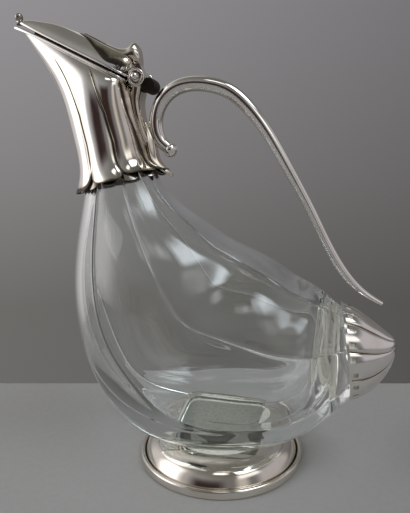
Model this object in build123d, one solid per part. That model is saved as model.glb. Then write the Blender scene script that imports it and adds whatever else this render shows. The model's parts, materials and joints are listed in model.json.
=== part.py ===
"""A claret jug in the form of a duck: a lobed glass body in plated mounts, with the bill as a hinged lid.

Millimetres. +Z is up and -X is the way the bill points. The duck is the same on both sides of the XZ plane.
The origin is the centre of the foot's underside.
"""

from build123d import *
from math import atan2, copysign, cos, degrees, pi, sin, tau
from typing import NamedTuple
import os

# ---------------------------------------------------------------- foot
FOOT_RADIUS = 47.5
FOOT_BAND_HEIGHT = 4.9
FOOT_BAND_WALL = 2.6
FOOT_BAND_ROUND = 1.0
FOOT_DOME_RADIUS = FOOT_RADIUS - 3.3  # where the dome rises out of the groove inside the band
FOOT_GROOVE_HEIGHT = 4.3
FOOT_SHOULDER_RADIUS = FOOT_DOME_RADIUS - 3.2
FOOT_SHOULDER_HEIGHT = 9.6
FOOT_LIP_RADIUS = 28.0
FOOT_LIP_HEIGHT = 13.4
FOOT_DOME_WALL = 1.2
BAIZE_THICKNESS = 1.5

# ---------------------------------------------------------------- glass
LOBES = 8
LOBE_SHARES = (-0.5, -0.25, 0.0, 0.25, 0.5)  # the points of a lobe's curve, as shares of the lobe
LOBE_ROUNDNESS = 2.4
GLASS_GROOVE = 1.1  # depth of the grooves between the lobes
GLASS_WALL = 3.4
GLASS_FLOOR = 9.0  # thickness under the wine
GLASS_SQUARE = 2.2  # 2 is an ellipse, more is squarer
BOSS_LENGTH = 46.0
BOSS_WIDTH = 40.0
BOSS_CORNER = 8.0
BOSS_BOTTOM = 8.0
BOSS_TOP = 24.0
NECK_BORE_WALL = 2.8

# ---------------------------------------------------------------- mounts
PLATE_WALL = 1.2
TIP_WALL_FACTOR = 4.0  # how much thicker a wall is at the tip of the bill
SIDE_WALL_FACTOR = 0.7
MOUNT_GROOVE = 0.9
RIM_THICKNESS = 1.8
RIM_PROUD = 0.8
RIM_WALL = 2.4
NECK_CEMENT_MIDDLE = (-60.0, 0.0, 175.5)
NECK_CEMENT_HEIGHT = 19.0

# ---------------------------------------------------------------- hinge
HINGE_BEHIND_RIM = 4.55
HINGE_ABOVE_RIM = 3.0
PIN_RADIUS = 1.3
PIN_CLEARANCE = 0.06
BARREL_RADIUS = 3.2
LID_BARREL_LENGTH = 6.4
BARREL_LENGTH = 4.0
BARREL_GAP = 0.25
BARREL_ROOM = 1.2  # room round the lid's knuckle in the bracket
STUD_RADIUS = 4.7
STUD_THICKNESS = 2.2
STUD_CLEARANCE = 0.4
STUD_BEAD_RADIUS = 2.0
STUD_BEAD_STEM = 1.6

# ---------------------------------------------------------------- lid
LID_GAP = 0.3
LID_BEZEL_THICKNESS = 1.6
LID_BEZEL_WALL = 1.6
LID_DOME_WALL = 1.2
TIP_BEAD_RADIUS = 1.6
FINIAL_INSET = 2.6
FINIAL_STEM = 1.7
FINIAL_RISE = Vector(-1.2, 0, 4.6)

# ---------------------------------------------------------------- handle and tail
HANDLE_BALL_RADIUS = 3.6
SADDLE_HALF_WIDTH = 3.4
TAIL_LOBES = 10
TAIL_GROOVE = 1.0
TAIL_WALL = 1.1
TAIL_WALL_SHARE = 0.3  # the wall is never more than this share of the ring's half width
TAIL_BEZEL_THICKNESS = 1.2
TAIL_BEZEL_PROUD = 0.5
RUFF_WALL = 1.4
RUFF_LOBES = 12
RUFF_GROOVES = [0.2, 1.2, 3.4]


class Station(NamedTuple):
    """A ring square to the XZ plane: its front and back points (x, z), and its half width in Y.

    square makes it squarer, taper narrows its front and shift moves its widest place towards its back.
    """

    front: tuple
    back: tuple
    half_width: float
    square: float = 2.0
    taper: float = 0.0
    shift: float = 0.0


# The glass, from the top of its neck, down the breast and along to the tail.
GLASS_STATIONS = [
    Station((-74.0, 187.0), (-45.0, 189.5), 14.5),
    Station((-75.2, 160.0), (-38.0, 169.8), 18.5),
    Station((-79.9, 135.0), (-24.7, 149.9), 26.9),
    Station((-83.4, 104.7), (-8.7, 137.5), 39.3),
    Station((-78.6, 63.3), (5.8, 127.7), 48.6),
    Station((-61.9, 26.0), (18.9, 121.7), 50.6, 1.85),
    Station((-35.0, 13.5), (31.8, 114.3), 52.8, 2.25),
    Station((9.0, 11.3), (44.4, 105.5), 50.9, 2.3),
    Station((45.7, 20.2), (56.9, 99.1), 41.6, 2.15),
    Station((70.0, 38.3), (66.6, 91.0), 27.0),
    Station((78.0, 46.5), (75.5, 85.0), 19.0),
]
# Where the cavity ends inside the tail, as a share of the way from one station to the next.
CAVITY_END_SHARE = 0.45
NECK_STATIONS = 2  # this many stations have the neck's thinner wall

# The head mount, from its flared lower edge up to the opening under the bill.
HEAD_STATIONS = [
    Station((-80.0, 156.6), (-27.5, 165.6), 24.0),
    Station((-77.0, 161.5), (-36.2, 169.6), 21.0),
    Station((-78.4, 177.0), (-39.8, 182.5), 19.4),
    Station((-81.6, 194.0), (-42.6, 196.0), 19.2, 2.0, 0.08, 0.05),
    Station((-90.1, 213.5), (-44.6, 205.8), 19.8, 2.0, 0.28, 0.2),
    Station((-101.7, 232.0), (-46.2, 209.8), 19.0, 2.0, 0.5, 0.38),
]
RIM_FRONT = (-113.4, 247.2)
RIM_BACK = (-47.0, 213.2)
RIM_HALF_WIDTH = 18.0
RIM_TAPER = 0.7
RIM_SHIFT = 0.5

# The scalloped ruff under the head mount.
RUFF_STATIONS = [
    Station((-75.8, 162.0), (-38.2, 170.0), 19.6),
    Station((-78.6, 157.0), (-32.0, 165.4), 22.4),
    Station((-78.9, 152.2), (-29.0, 162.6), 24.0),
]

# The lid's dome above its bezel: height, length from the back of the rim, start, half width.
DOME_LEVELS = [
    (0.0, 74.0, 1.0, 17.4),
    (2.8, 68.3, 0.8, 16.5),
    (5.2, 61.0, 1.0, 14.7),
    (7.2, 53.4, 2.4, 11.6),
    (8.4, 44.5, 7.0, 7.6),
    (9.1, 36.0, 15.0, 3.2),
]

# The leaf and thumbpiece on the lid: top point, bottom point, half width.
THUMB_STATIONS = [
    Station((-74.6, 240.9), (-74.8, 240.4), 0.8),
    Station((-69.5, 238.9), (-69.7, 238.0), 3.8),
    Station((-61.5, 234.6), (-61.8, 233.7), 7.0),
    Station((-55.5, 231.4), (-55.9, 230.6), 7.4),
    Station((-51.0, 230.0), (-51.3, 228.7), 6.8),
    Station((-47.2, 231.3), (-46.7, 226.2), 6.0),
    Station((-44.1, 232.8), (-43.0, 223.4), 5.2),
    Station((-41.6, 230.1), (-40.8, 221.2), 4.2),
]

# The handle's centre line, from the ball in its scroll to its tip: x, z, half thickness, half width.
HANDLE_STATIONS = [
    (-26.2, 176.2, 3.0, 3.0),
    (-31.4, 181.2, 3.5, 3.6),
    (-33.9, 189.0, 3.8, 3.9),
    (-32.9, 196.8, 3.9, 4.1),
    (-28.9, 203.8, 4.0, 4.3),
    (-21.6, 208.9, 4.0, 4.4),
    (-12.0, 210.5, 3.95, 4.5),
    (-2.2, 209.2, 4.0, 4.5),
    (6.8, 205.7, 4.0, 4.4),
    (15.2, 198.8, 3.8, 4.3),
    (24.0, 188.2, 3.5, 4.2),
    (32.3, 174.9, 3.2, 4.0),
    (41.0, 159.4, 2.95, 3.8),
    (50.2, 142.4, 2.65, 3.5),
    (58.8, 125.0, 2.55, 3.2),
    (68.6, 109.0, 2.4, 3.0),
    (77.4, 99.9, 1.9, 2.6),
    (88.0, 93.4, 1.1, 1.6),
]

# The tail cap, from its open end to its point.
TAIL_STATIONS = [
    Station((73.3, 40.4), (68.2, 92.4), 26.6),
    Station((78.6, 42.4), (75.2, 89.6), 24.0),
    Station((84.0, 46.2), (81.6, 85.2), 19.9),
    Station((89.2, 51.8), (87.6, 80.6), 14.6),
    Station((93.4, 58.6), (92.4, 76.8), 9.2),
    Station((95.9, 66.2), (95.3, 74.0), 3.9),
    Station((96.5, 69.6), (96.4, 71.4), 0.9),
]


def between(a, b, share):
    """The station that lies a share of the way from a to b."""

    def mix(p, q):
        return p + (q - p) * share

    return Station(
        tuple(map(mix, a.front, b.front)),
        tuple(map(mix, a.back, b.back)),
        mix(a.half_width, b.half_width),
        mix(a.square, b.square),
        mix(a.taper, b.taper),
        mix(a.shift, b.shift),
    )


def inset(station, front, back, side):
    """The station made smaller by these distances at its front, back and sides."""
    f, b = Vector(*station.front), Vector(*station.back)
    u = (f - b).normalized()
    f, b = f - u * front, b + u * back
    return station._replace(front=(f.X, f.Y), back=(b.X, b.Y), half_width=station.half_width - side)


def thinner(station, wall):
    """The station inside a wall. A narrow front needs more room at its tip."""
    front = wall * (1 + TIP_WALL_FACTOR * station.taper)
    side = wall * (1 + SIDE_WALL_FACTOR * station.taper)
    return inset(station, front, wall, side)


def prouder(station, proud):
    return inset(station, -proud, -proud, -proud * (1 + SIDE_WALL_FACTOR * station.taper))


def rounded_power(value, square):
    return copysign(abs(value) ** (2 / square), value)


def ring_point(station, angle, depth):
    """A point of the station's ring, sunk by depth. Angle 0 is the front."""
    f, b = Vector(station.front[0], 0, station.front[1]), Vector(station.back[0], 0, station.back[1])
    centre, half = (f + b) * 0.5, (f - b).length / 2
    along = (f - b).normalized()
    c, s = rounded_power(cos(angle), station.square), rounded_power(sin(angle), station.square)
    width = station.half_width * (1 - station.taper * (1 + cos(angle)) / 2)
    reach = c - station.shift * sin(angle) ** 2
    shrink = 1 - depth / max(half, depth)
    return centre + along * (half * reach * shrink) + Vector(0, 1, 0) * (width * s * shrink)


def lobed_ring(station, lobes=LOBES, groove=0.0, phase=0.0):
    """A closed wire with one curve for each lobe, from groove to groove over its crest."""
    step = tau / lobes
    curves = []
    for k in range(lobes):
        points = []
        for share in LOBE_SHARES:
            depth = groove * abs(2 * share) ** LOBE_ROUNDNESS
            points.append(ring_point(station, (k + phase + share) * step, depth))
        curves.append(Edge.make_spline(points))
    return Wire(curves)


def lobed_loft(stations, lobes=LOBES, grooves=0.0, phase=0.0):
    if not isinstance(grooves, list):
        grooves = [grooves] * len(stations)
    return Solid.make_loft([lobed_ring(s, lobes, g, phase) for s, g in zip(stations, grooves)])


def one_solid(shape):
    """The largest solid of a shape, without the slivers that a cut can leave."""
    return max(shape.solids(), key=lambda s: s.volume)


# ---------------------------------------------------------------- rim plane of the head
_f, _b = Vector(RIM_FRONT[0], 0, RIM_FRONT[1]), Vector(RIM_BACK[0], 0, RIM_BACK[1])
RIM_LENGTH = (_f - _b).length
RIM_ALONG = (_f - _b).normalized()
RIM_UP = Vector(-RIM_ALONG.Z, 0, RIM_ALONG.X) * -1


def rim_station(height, length, start, half_width):
    """A station parallel to the rim: height above it, reach forwards from its back, start, half width."""
    f = _b + RIM_ALONG * length + RIM_UP * height
    b = _b + RIM_ALONG * start + RIM_UP * height
    return Station((f.X, f.Z), (b.X, b.Z), half_width, 2.0, RIM_TAPER, RIM_SHIFT)


HINGE = _b - RIM_ALONG * HINGE_BEHIND_RIM + RIM_UP * HINGE_ABOVE_RIM


def foot_dome_profile(offset):
    """The dome's outline from the band to the lip, moved inwards by offset."""
    base = (FOOT_DOME_RADIUS - offset, FOOT_GROOVE_HEIGHT)
    shoulder = (FOOT_SHOULDER_RADIUS - offset, FOOT_SHOULDER_HEIGHT - offset)
    lip = (FOOT_LIP_RADIUS, FOOT_LIP_HEIGHT - offset)
    return base, shoulder, lip


def make_foot_band():
    outline = Pos(FOOT_RADIUS - FOOT_BAND_WALL / 2, FOOT_BAND_HEIGHT / 2) * RectangleRounded(
        FOOT_BAND_WALL, FOOT_BAND_HEIGHT, FOOT_BAND_ROUND
    )
    return revolve(Plane.XZ * outline, Axis.Z)


def foot_dome_face(offset, floor):
    """The half section inside the dome's outline, from the axis, above floor."""
    base, shoulder, lip = foot_dome_profile(offset)
    line = Polyline((0, lip[1]), lip)
    line += Spline(lip, shoulder, base, tangents=((1, -0.12), (0, -1)))
    line += Polyline(base, (base[0], floor), (0, floor), (0, lip[1]))
    return Plane.XZ * make_face(line)


def make_foot():
    """The foot: band, dome, the plaster that fills it and the baize under it."""
    inner = FOOT_RADIUS - FOOT_BAND_WALL
    band = make_foot_band()
    dome_out = revolve(foot_dome_face(0, BAIZE_THICKNESS), Axis.Z)
    dome_in = revolve(foot_dome_face(FOOT_DOME_WALL, BAIZE_THICKNESS), Axis.Z)
    opening = Pos(0, 0, FOOT_LIP_HEIGHT) * Cylinder(FOOT_LIP_RADIUS, 4 * FOOT_DOME_WALL)
    dome = dome_out - dome_in - opening - band
    baize = Cylinder(inner, BAIZE_THICKNESS, align=(Align.CENTER, Align.CENTER, Align.MIN))
    plaster = dome_in & Cylinder(2 * FOOT_RADIUS, 4 * FOOT_LIP_HEIGHT)
    return {
        "foot_band": one_solid(band),
        "foot_dome": one_solid(dome),
        "foot_baize": one_solid(baize - band),
        "foot_plaster": one_solid(plaster - band),
    }


def make_glass_outside():
    body = lobed_loft(GLASS_STATIONS, grooves=[0.3, GLASS_GROOVE] + [GLASS_GROOVE] * 7 + [0.6, 0.3])
    boss = extrude(RectangleRounded(BOSS_LENGTH, BOSS_WIDTH, BOSS_CORNER), BOSS_TOP - BOSS_BOTTOM)
    return body + Pos(0, 0, BOSS_BOTTOM) * boss


def make_glass_cavity():
    """The room for the wine: a thin wall at the neck and breast, and a thick floor."""
    stations = []
    for k, station in enumerate(GLASS_STATIONS[:-2]):
        if k < NECK_STATIONS:
            stations.append(thinner(station, NECK_BORE_WALL))
        else:
            low = min(1.0, max(0.0, 1 - (station.front[1] - 15) / 60))
            stations.append(inset(station, GLASS_WALL + (GLASS_FLOOR - GLASS_WALL) * low, GLASS_WALL, GLASS_WALL))
    end = between(GLASS_STATIONS[-3], GLASS_STATIONS[-2], CAVITY_END_SHARE)
    stations.append(thinner(end, GLASS_FLOOR))
    return lobed_loft(stations, grooves=GLASS_GROOVE / 2)


def make_head(glass):
    """The head mount, its rim, the ruff under it and the cement that holds it on the neck."""
    top = rim_station(-RIM_THICKNESS, RIM_LENGTH, 0, RIM_HALF_WIDTH)
    stations = HEAD_STATIONS + [top]
    outside = lobed_loft(stations, grooves=[MOUNT_GROOVE] * (len(stations) - 1) + [0.0])
    inside = lobed_loft(
        [thinner(s, PLATE_WALL) for s in stations], grooves=[MOUNT_GROOVE] * (len(stations) - 1) + [0.0]
    )
    mount = outside - inside
    rim_low = rim_station(-RIM_THICKNESS, RIM_LENGTH, 0, RIM_HALF_WIDTH)
    rim_high = rim_station(0, RIM_LENGTH, 0, RIM_HALF_WIDTH)
    rim = lobed_loft([prouder(rim_low, RIM_PROUD), prouder(rim_high, RIM_PROUD)])
    rim -= lobed_loft([thinner(rim_low, RIM_WALL - RIM_PROUD), thinner(rim_high, RIM_WALL - RIM_PROUD)])
    ruff = lobed_loft(RUFF_STATIONS, RUFF_LOBES, RUFF_GROOVES)
    ruff -= lobed_loft([thinner(s, RUFF_WALL) for s in RUFF_STATIONS], RUFF_LOBES, RUFF_GROOVES)
    neck = Pos(NECK_CEMENT_MIDDLE) * Box(4 * FOOT_RADIUS, 4 * FOOT_RADIUS, NECK_CEMENT_HEIGHT)
    return outside, {
        "head_mount": one_solid(mount - glass),
        "bill_rim": one_solid(rim),
        "neck_ruff": one_solid(ruff - outside - glass),
        "neck_cement": one_solid((inside & neck) - glass - ruff),
    }


def barrel(start, length, radius):
    """A cylinder on the hinge's axis, from start along +Y."""
    return Solid.make_cylinder(radius, length, Plane((HINGE.X, start, HINGE.Z), z_dir=(0, 1, 0)))


def stud_room():
    """Room in the lid for the two studs to stand in as it turns."""
    start = LID_BARREL_LENGTH / 2 + BARREL_GAP + BARREL_LENGTH - STUD_CLEARANCE
    room = []
    for edge in (start, -start - STUD_THICKNESS * 3):
        room.append(barrel(edge, STUD_THICKNESS * 3, STUD_RADIUS + STUD_CLEARANCE))
    return room


def make_hinge(head_outside, rim):
    """The bracket on the head with its two knuckles, the pin and the studs on the pin's ends."""
    inner = LID_BARREL_LENGTH / 2 + BARREL_GAP
    outer = inner + BARREL_LENGTH
    bore = barrel(-outer, 2 * outer, PIN_RADIUS)
    knuckles = barrel(-outer, 2 * outer, BARREL_RADIUS)
    outline = Spline(
        (HINGE.X + BARREL_RADIUS, HINGE.Z), (-40.9, 204.0), (-40.9, 196.0), (-38.6, 186.0), (-36.4, 178.0)
    )
    outline += Polyline((-36.4, 178.0), (-44.0, 180.0), (-50.0, 207.0), (HINGE.X - BARREL_RADIUS, HINGE.Z))
    outline += Polyline((HINGE.X - BARREL_RADIUS, HINGE.Z), (HINGE.X + BARREL_RADIUS, HINGE.Z))
    strap = extrude(Plane.XZ * make_face(outline), outer, both=True)
    room = barrel(-inner, 2 * inner, BARREL_RADIUS + BARREL_ROOM)
    bracket = (strap + knuckles) - room - bore - head_outside - rim
    pin = barrel(-outer, 2 * outer, PIN_RADIUS)
    studs = {}
    for side, name in ((-1, "left"), (1, "right")):
        start = side * (outer + STUD_THICKNESS) if side < 0 else outer
        disc = barrel(start, STUD_THICKNESS, STUD_RADIUS)
        bead_y = side * (outer + STUD_THICKNESS + STUD_BEAD_STEM)
        bead = Pos(HINGE.X, bead_y, HINGE.Z) * Sphere(STUD_BEAD_RADIUS)
        stem_start = min(bead_y, side * (outer + STUD_THICKNESS))
        stem = barrel(stem_start, STUD_BEAD_STEM, STUD_BEAD_RADIUS * 0.7)
        studs["pin_stud_" + name] = one_solid(disc + stem + bead)
    return {"hinge_bracket": one_solid(bracket), "hinge_pin": one_solid(pin), **studs}


def dome_levels(base):
    return [rim_station(base + height, end, start, w) for height, end, start, w in DOME_LEVELS]


def make_lid():
    """The bill: a domed lid on a bezel, with its leaf and thumbpiece, hinge knuckle and tip bead."""
    low = rim_station(LID_GAP, RIM_LENGTH, 0, RIM_HALF_WIDTH)
    high = rim_station(LID_GAP + LID_BEZEL_THICKNESS, RIM_LENGTH, 0, RIM_HALF_WIDTH)
    bezel = lobed_loft([prouder(low, RIM_PROUD / 2), prouder(high, RIM_PROUD / 2)])
    bezel -= lobed_loft([thinner(low, LID_BEZEL_WALL), thinner(high, LID_BEZEL_WALL)])
    bezel -= stud_room()
    base = LID_GAP + LID_BEZEL_THICKNESS
    levels = dome_levels(base)
    dome_out = lobed_loft(levels)
    inner_levels = [rim_station(base, *DOME_LEVELS[0][1:])] + dome_levels(base - LID_DOME_WALL)[1:]
    dome_in = lobed_loft([thinner(s, LID_DOME_WALL) for s in inner_levels])
    leaf = lobed_loft(THUMB_STATIONS)
    half = LID_BARREL_LENGTH / 2
    knuckle = barrel(-half, 2 * half, BARREL_RADIUS)
    tongue_out = Polyline(
        (HINGE.X - BARREL_RADIUS, HINGE.Z),
        (HINGE.X + BARREL_RADIUS, HINGE.Z),
        (-42.0, 224.0),
        (-47.0, 224.0),
        (-49.0, 215.5),
        (HINGE.X - BARREL_RADIUS, HINGE.Z),
    )
    tongue = extrude(Plane.XZ * make_face(tongue_out), half, both=True)
    bore = barrel(-2 * half, 4 * half, PIN_RADIUS + PIN_CLEARANCE)
    root = _b + RIM_ALONG * (RIM_LENGTH - FINIAL_INSET) + RIM_UP * (LID_GAP + LID_BEZEL_THICKNESS / 2)
    tip = root + FINIAL_RISE
    stem = Solid.make_cone(
        FINIAL_STEM, FINIAL_STEM / 2, FINIAL_RISE.length, Plane(origin=root, z_dir=FINIAL_RISE)
    )
    bead = Pos(tip.X, 0, tip.Z) * Sphere(TIP_BEAD_RADIUS) + stem
    return {
        "lid_bezel": one_solid(bezel),
        "lid_dome": one_solid(dome_out - dome_in - stud_room()),
        "thumb_leaf": leaf,
        "lid_knuckle": one_solid(knuckle + tongue - bore - leaf - dome_out - bezel),
        "bill_finial": one_solid(bead - bezel - dome_out),
    }


def make_handle(head_outside, bracket):
    """The bent bar, the ball in its scroll and the saddle that joins it to the head."""
    rings = []
    last = len(HANDLE_STATIONS) - 1
    for k, (x, z, thick, wide) in enumerate(HANDLE_STATIONS):
        x0, z0 = HANDLE_STATIONS[max(k - 1, 0)][:2]
        x1, z1 = HANDLE_STATIONS[min(k + 1, last)][:2]
        plane = Plane((x, 0, z), x_dir=(0, 1, 0), z_dir=(x1 - x0, 0, z1 - z0))
        rings.append(Wire(Edge.make_ellipse(wide, thick, plane)))
    bar = Solid.make_loft(rings)
    x, z = HANDLE_STATIONS[0][:2]
    ball = Pos(x, 0, z) * Sphere(HANDLE_BALL_RADIUS)
    outline = Polyline(
        (-44.0, 190.0), (-34.0, 190.5), (-31.0, 182.0), (-28.5, 175.0), (-33.0, 170.5), (-40.0, 171.0), (-44.0, 190.0)
    )
    saddle = extrude(Plane.XZ * make_face(outline), SADDLE_HALF_WIDTH, both=True)
    return {
        "handle_bar": one_solid(bar - ball),
        "handle_ball": one_solid(ball),
        "handle_saddle": one_solid(saddle - bar - ball - head_outside - bracket),
    }


def make_tail(glass):
    """The tail cap, the bezel round its mouth and the plaster that holds it on the glass."""
    half_step = 0.5
    grooves = [TAIL_GROOVE * s.half_width / TAIL_STATIONS[0].half_width for s in TAIL_STATIONS]
    cap_out = lobed_loft(TAIL_STATIONS, TAIL_LOBES, grooves, half_step)
    shrunk = [thinner(s, min(TAIL_WALL, s.half_width * TAIL_WALL_SHARE)) for s in TAIL_STATIONS[:-1]]
    cap_in = lobed_loft(shrunk, TAIL_LOBES, grooves[:-1], half_step)
    mouth = TAIL_STATIONS[0]
    back = between(TAIL_STATIONS[0], TAIL_STATIONS[1], -TAIL_BEZEL_THICKNESS / 6)
    bezel = lobed_loft([prouder(mouth, TAIL_BEZEL_PROUD), prouder(back, TAIL_BEZEL_PROUD)])
    return {
        "tail_cap": one_solid(cap_out - cap_in - glass),
        "tail_bezel": one_solid(bezel - glass - cap_out),
        "tail_plaster": one_solid(cap_in - glass),
    }


def make_jug():
    outside = make_glass_outside()
    cavity = make_glass_cavity()
    nodes = {"glass_body": one_solid(outside - cavity)}
    foot = make_foot()
    foot["foot_plaster"] = one_solid(foot["foot_plaster"] - outside)
    foot["foot_dome"] = one_solid(foot["foot_dome"] - outside)
    nodes |= foot
    head_outside, head = make_head(outside)
    nodes |= head
    nodes |= make_hinge(head_outside, nodes["bill_rim"])
    nodes |= make_lid()
    nodes |= make_handle(head_outside, nodes["hinge_bracket"])
    nodes |= make_tail(outside)
    return nodes


os.makedirs("parts", exist_ok=True)
for name, solid in make_jug().items():
    export_step(solid, f"parts/{name}.step")
    print(name, round(solid.volume))
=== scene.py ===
# %% [markdown]
# # A claret jug in the form of a duck
# The jug has a clear glass body in eight soft lobes. Its head is a plated mount cemented over the glass
# neck, its bill is a hinged lid, its tail is a small fluted cap and it stands on a round plated foot.
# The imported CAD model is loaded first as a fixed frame. Every piece made here lies where that frame
# says, in metres, and rides on one of its two bodies, "jug" and "lid".

# %% The frame
import json
import math

import bmesh
import bpy
import numpy as np
from mathutils import Matrix, Vector
from mathutils.bvhtree import BVHTree

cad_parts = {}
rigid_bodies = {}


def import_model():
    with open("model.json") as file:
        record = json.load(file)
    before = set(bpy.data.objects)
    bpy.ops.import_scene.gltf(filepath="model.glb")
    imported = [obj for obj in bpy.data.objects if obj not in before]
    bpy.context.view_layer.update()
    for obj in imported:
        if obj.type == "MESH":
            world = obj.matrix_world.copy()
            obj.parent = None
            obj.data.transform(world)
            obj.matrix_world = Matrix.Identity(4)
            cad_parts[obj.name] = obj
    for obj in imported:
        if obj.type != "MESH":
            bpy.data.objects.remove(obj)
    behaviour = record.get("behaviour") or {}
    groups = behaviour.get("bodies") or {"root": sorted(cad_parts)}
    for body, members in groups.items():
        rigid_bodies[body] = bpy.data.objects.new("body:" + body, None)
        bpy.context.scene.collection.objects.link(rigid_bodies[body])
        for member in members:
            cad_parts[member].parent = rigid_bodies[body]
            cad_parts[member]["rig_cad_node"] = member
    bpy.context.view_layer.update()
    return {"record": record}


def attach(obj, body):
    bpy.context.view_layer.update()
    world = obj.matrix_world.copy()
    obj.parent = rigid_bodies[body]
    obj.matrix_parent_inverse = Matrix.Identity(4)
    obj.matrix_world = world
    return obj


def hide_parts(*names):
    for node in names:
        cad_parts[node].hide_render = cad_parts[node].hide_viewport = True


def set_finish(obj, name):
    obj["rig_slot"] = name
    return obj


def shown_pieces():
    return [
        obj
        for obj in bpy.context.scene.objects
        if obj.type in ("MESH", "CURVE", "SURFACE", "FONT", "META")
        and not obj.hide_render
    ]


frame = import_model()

# %% [markdown]
# ## The camera
# A jug like this is looked at from a little above and a little to one side of the bill. The lens is given
# by the render's height, because the render stands upright.

# %% The camera
MM = 0.001
CAMERA_PLACE = (47.22, -271.63, 165.36)
CAMERA_LOOK = (-0.19574309, 0.96555794, -0.17141327)
CAMERA_ROLL = math.radians(-0.95)
FOCAL_SHARE = 500 / 513  # focal length as a share of the render's height
SENSOR = 36.0
CLIP_NEAR, CLIP_FAR = 0.01, 20


def make_camera():
    look = Vector(CAMERA_LOOK).normalized()
    right = look.cross(Vector((0, 0, 1))).normalized()
    up = right.cross(look)
    c, s = math.cos(CAMERA_ROLL), math.sin(CAMERA_ROLL)
    right, up = right * c + up * s, up * c - right * s
    data = bpy.data.cameras.new("camera")
    data.sensor_fit, data.sensor_width, data.sensor_height = "VERTICAL", SENSOR, SENSOR
    data.lens = FOCAL_SHARE * SENSOR
    data.clip_start, data.clip_end = CLIP_NEAR, CLIP_FAR
    camera = bpy.data.objects.new("camera", data)
    bpy.context.scene.collection.objects.link(camera)
    turn = Matrix((right, up, -look)).transposed()
    camera.matrix_world = Matrix.Translation(Vector(CAMERA_PLACE) * MM) @ turn.to_4x4()
    bpy.context.scene.camera = camera
    return camera


print("lens", round(make_camera().data.lens, 2), "mm")

# %% [markdown]
# ## Surfaces from stations
# Glass, head and tail are all soft bodies whose cut changes from one end to the other. A maker would give
# such a shape by stations: rings square to the plane of symmetry, each with its front, its back and its
# width. A natural cubic spline carries every number from station to station, so a few rows of numbers give
# one smooth skin, and the mesh can be as fine as the gloss needs.

# %% Splines
FX, FZ, BX, BZ, WIDE, SQUARE, TAPER, SHIFT = range(8)  # a station's numbers: front, back, half width, shape


def natural_spline(knots, values, at):
    """Reads a natural cubic spline through values, which lie at knots, at the places in at."""
    x, y = np.asarray(knots, float), np.asarray(values, float)
    n, h = len(x), np.diff(x)
    a, r = np.eye(n), np.zeros(y.shape)
    for i in range(1, n - 1):
        a[i, i - 1 : i + 2] = h[i - 1], 2 * (h[i - 1] + h[i]), h[i]
        r[i] = 6 * ((y[i + 1] - y[i]) / h[i] - (y[i] - y[i - 1]) / h[i - 1])
    m = np.linalg.solve(a, r)
    at = np.asarray(at, float)
    k = np.clip(np.searchsorted(x, at, side="right") - 1, 0, n - 2)
    step, q = h[k][..., None], ((at - x[k]) / h[k])[..., None]
    p = 1 - q
    bend = ((p**3 - p) * m[k] + (q**3 - q) * m[k + 1]) * step**2 / 6
    return p * y[k] + q * y[k + 1] + bend


def station(front, back, wide, square=2.0, taper=0.0, shift=0.0):
    return [*front, *back, wide, square, taper, shift]


def knots_of(stations):
    """How far along the body each station lies, from 0 to 1."""
    s = np.array(stations)
    steps = np.hypot(np.diff(s[:, FX]), np.diff(s[:, FZ])) + np.hypot(np.diff(s[:, BX]), np.diff(s[:, BZ]))
    far = np.concatenate([[0], np.cumsum(steps)])
    return far / far[-1]


def stations_at(stations, at):
    """The stations' numbers at any place along the body, for a whole array of places."""
    return natural_spline(knots_of(stations), stations, at)


def inset(rows, front, back, side):
    """The rows made smaller by these distances at their front, back and sides."""
    rows = np.array(rows, float)
    u = rows[..., [FX, FZ]] - rows[..., [BX, BZ]]
    u = u / np.linalg.norm(u, axis=-1, keepdims=True)
    rows[..., [FX, FZ]] -= u * np.asarray(front)[..., None]
    rows[..., [BX, BZ]] += u * np.asarray(back)[..., None]
    rows[..., WIDE] -= side
    return rows


TIP_WALL, SIDE_WALL = 4.0, 0.7  # a wall is this much thicker at the tip and sides of a narrow front


def thinner(rows, wall):
    rows = np.asarray(rows, float)
    taper = rows[..., TAPER]
    return inset(rows, wall * (1 + TIP_WALL * taper), wall, wall * (1 + SIDE_WALL * taper))


def prouder(rows, proud):
    rows = np.asarray(rows, float)
    return inset(rows, -proud, -proud, -proud * (1 + SIDE_WALL * rows[..., TAPER]))


print("spline check", natural_spline([0, 1, 2], [[0], [1], [0]], [0.5]).round(3))

# %% Rings and lobes
def power(value, square):
    return np.sign(value) * np.abs(value) ** (2 / square)


def ring_points(rows, angle, depth=0.0):
    """Points of the rows' rings, in mm, sunk by depth. Angle 0 is the front and the near side comes next."""
    rows, angle = np.asarray(rows, float), np.asarray(angle, float)
    dx, dz = rows[..., FX] - rows[..., BX], rows[..., FZ] - rows[..., BZ]
    full = np.hypot(dx, dz)
    half = full / 2
    c, s = power(np.cos(angle), rows[..., SQUARE]), power(np.sin(angle), rows[..., SQUARE])
    width = rows[..., WIDE] * (1 - rows[..., TAPER] * (1 + np.cos(angle)) / 2)
    reach = (c - rows[..., SHIFT] * np.sin(angle) ** 2) * half
    shrink = 1 - depth / np.maximum(half, depth + 1e-9)
    x = (rows[..., FX] + rows[..., BX]) / 2 + dx / full * reach * shrink
    z = (rows[..., FZ] + rows[..., BZ]) / 2 + dz / full * reach * shrink
    return np.stack([x, -width * s * shrink, z], axis=-1)


def lobe_columns(lobes, per_lobe):
    """Each column's lobe, and its place in that lobe from -0.5 to 0.5. They lie closer near the grooves."""
    place = 0.5 * np.sin(np.linspace(-1, 1, per_lobe + 1)[:-1] * math.pi / 2)
    return np.repeat(np.arange(lobes), per_lobe), np.tile(place, lobes)


def even_lobes(lobes, phase=0.0):
    """The grooves of evenly spaced lobes, in radians: one more than there are lobes."""
    return (np.arange(lobes + 1) - 0.5 + phase) * 2 * math.pi / lobes


def column_angles(grooves, lobe, place):
    """The angle of each column, where grooves (..., lobes + 1) may differ from row to row."""
    low, high = grooves[..., lobe], grooves[..., lobe + 1]
    return low + (high - low) * (place + 0.5)


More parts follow.
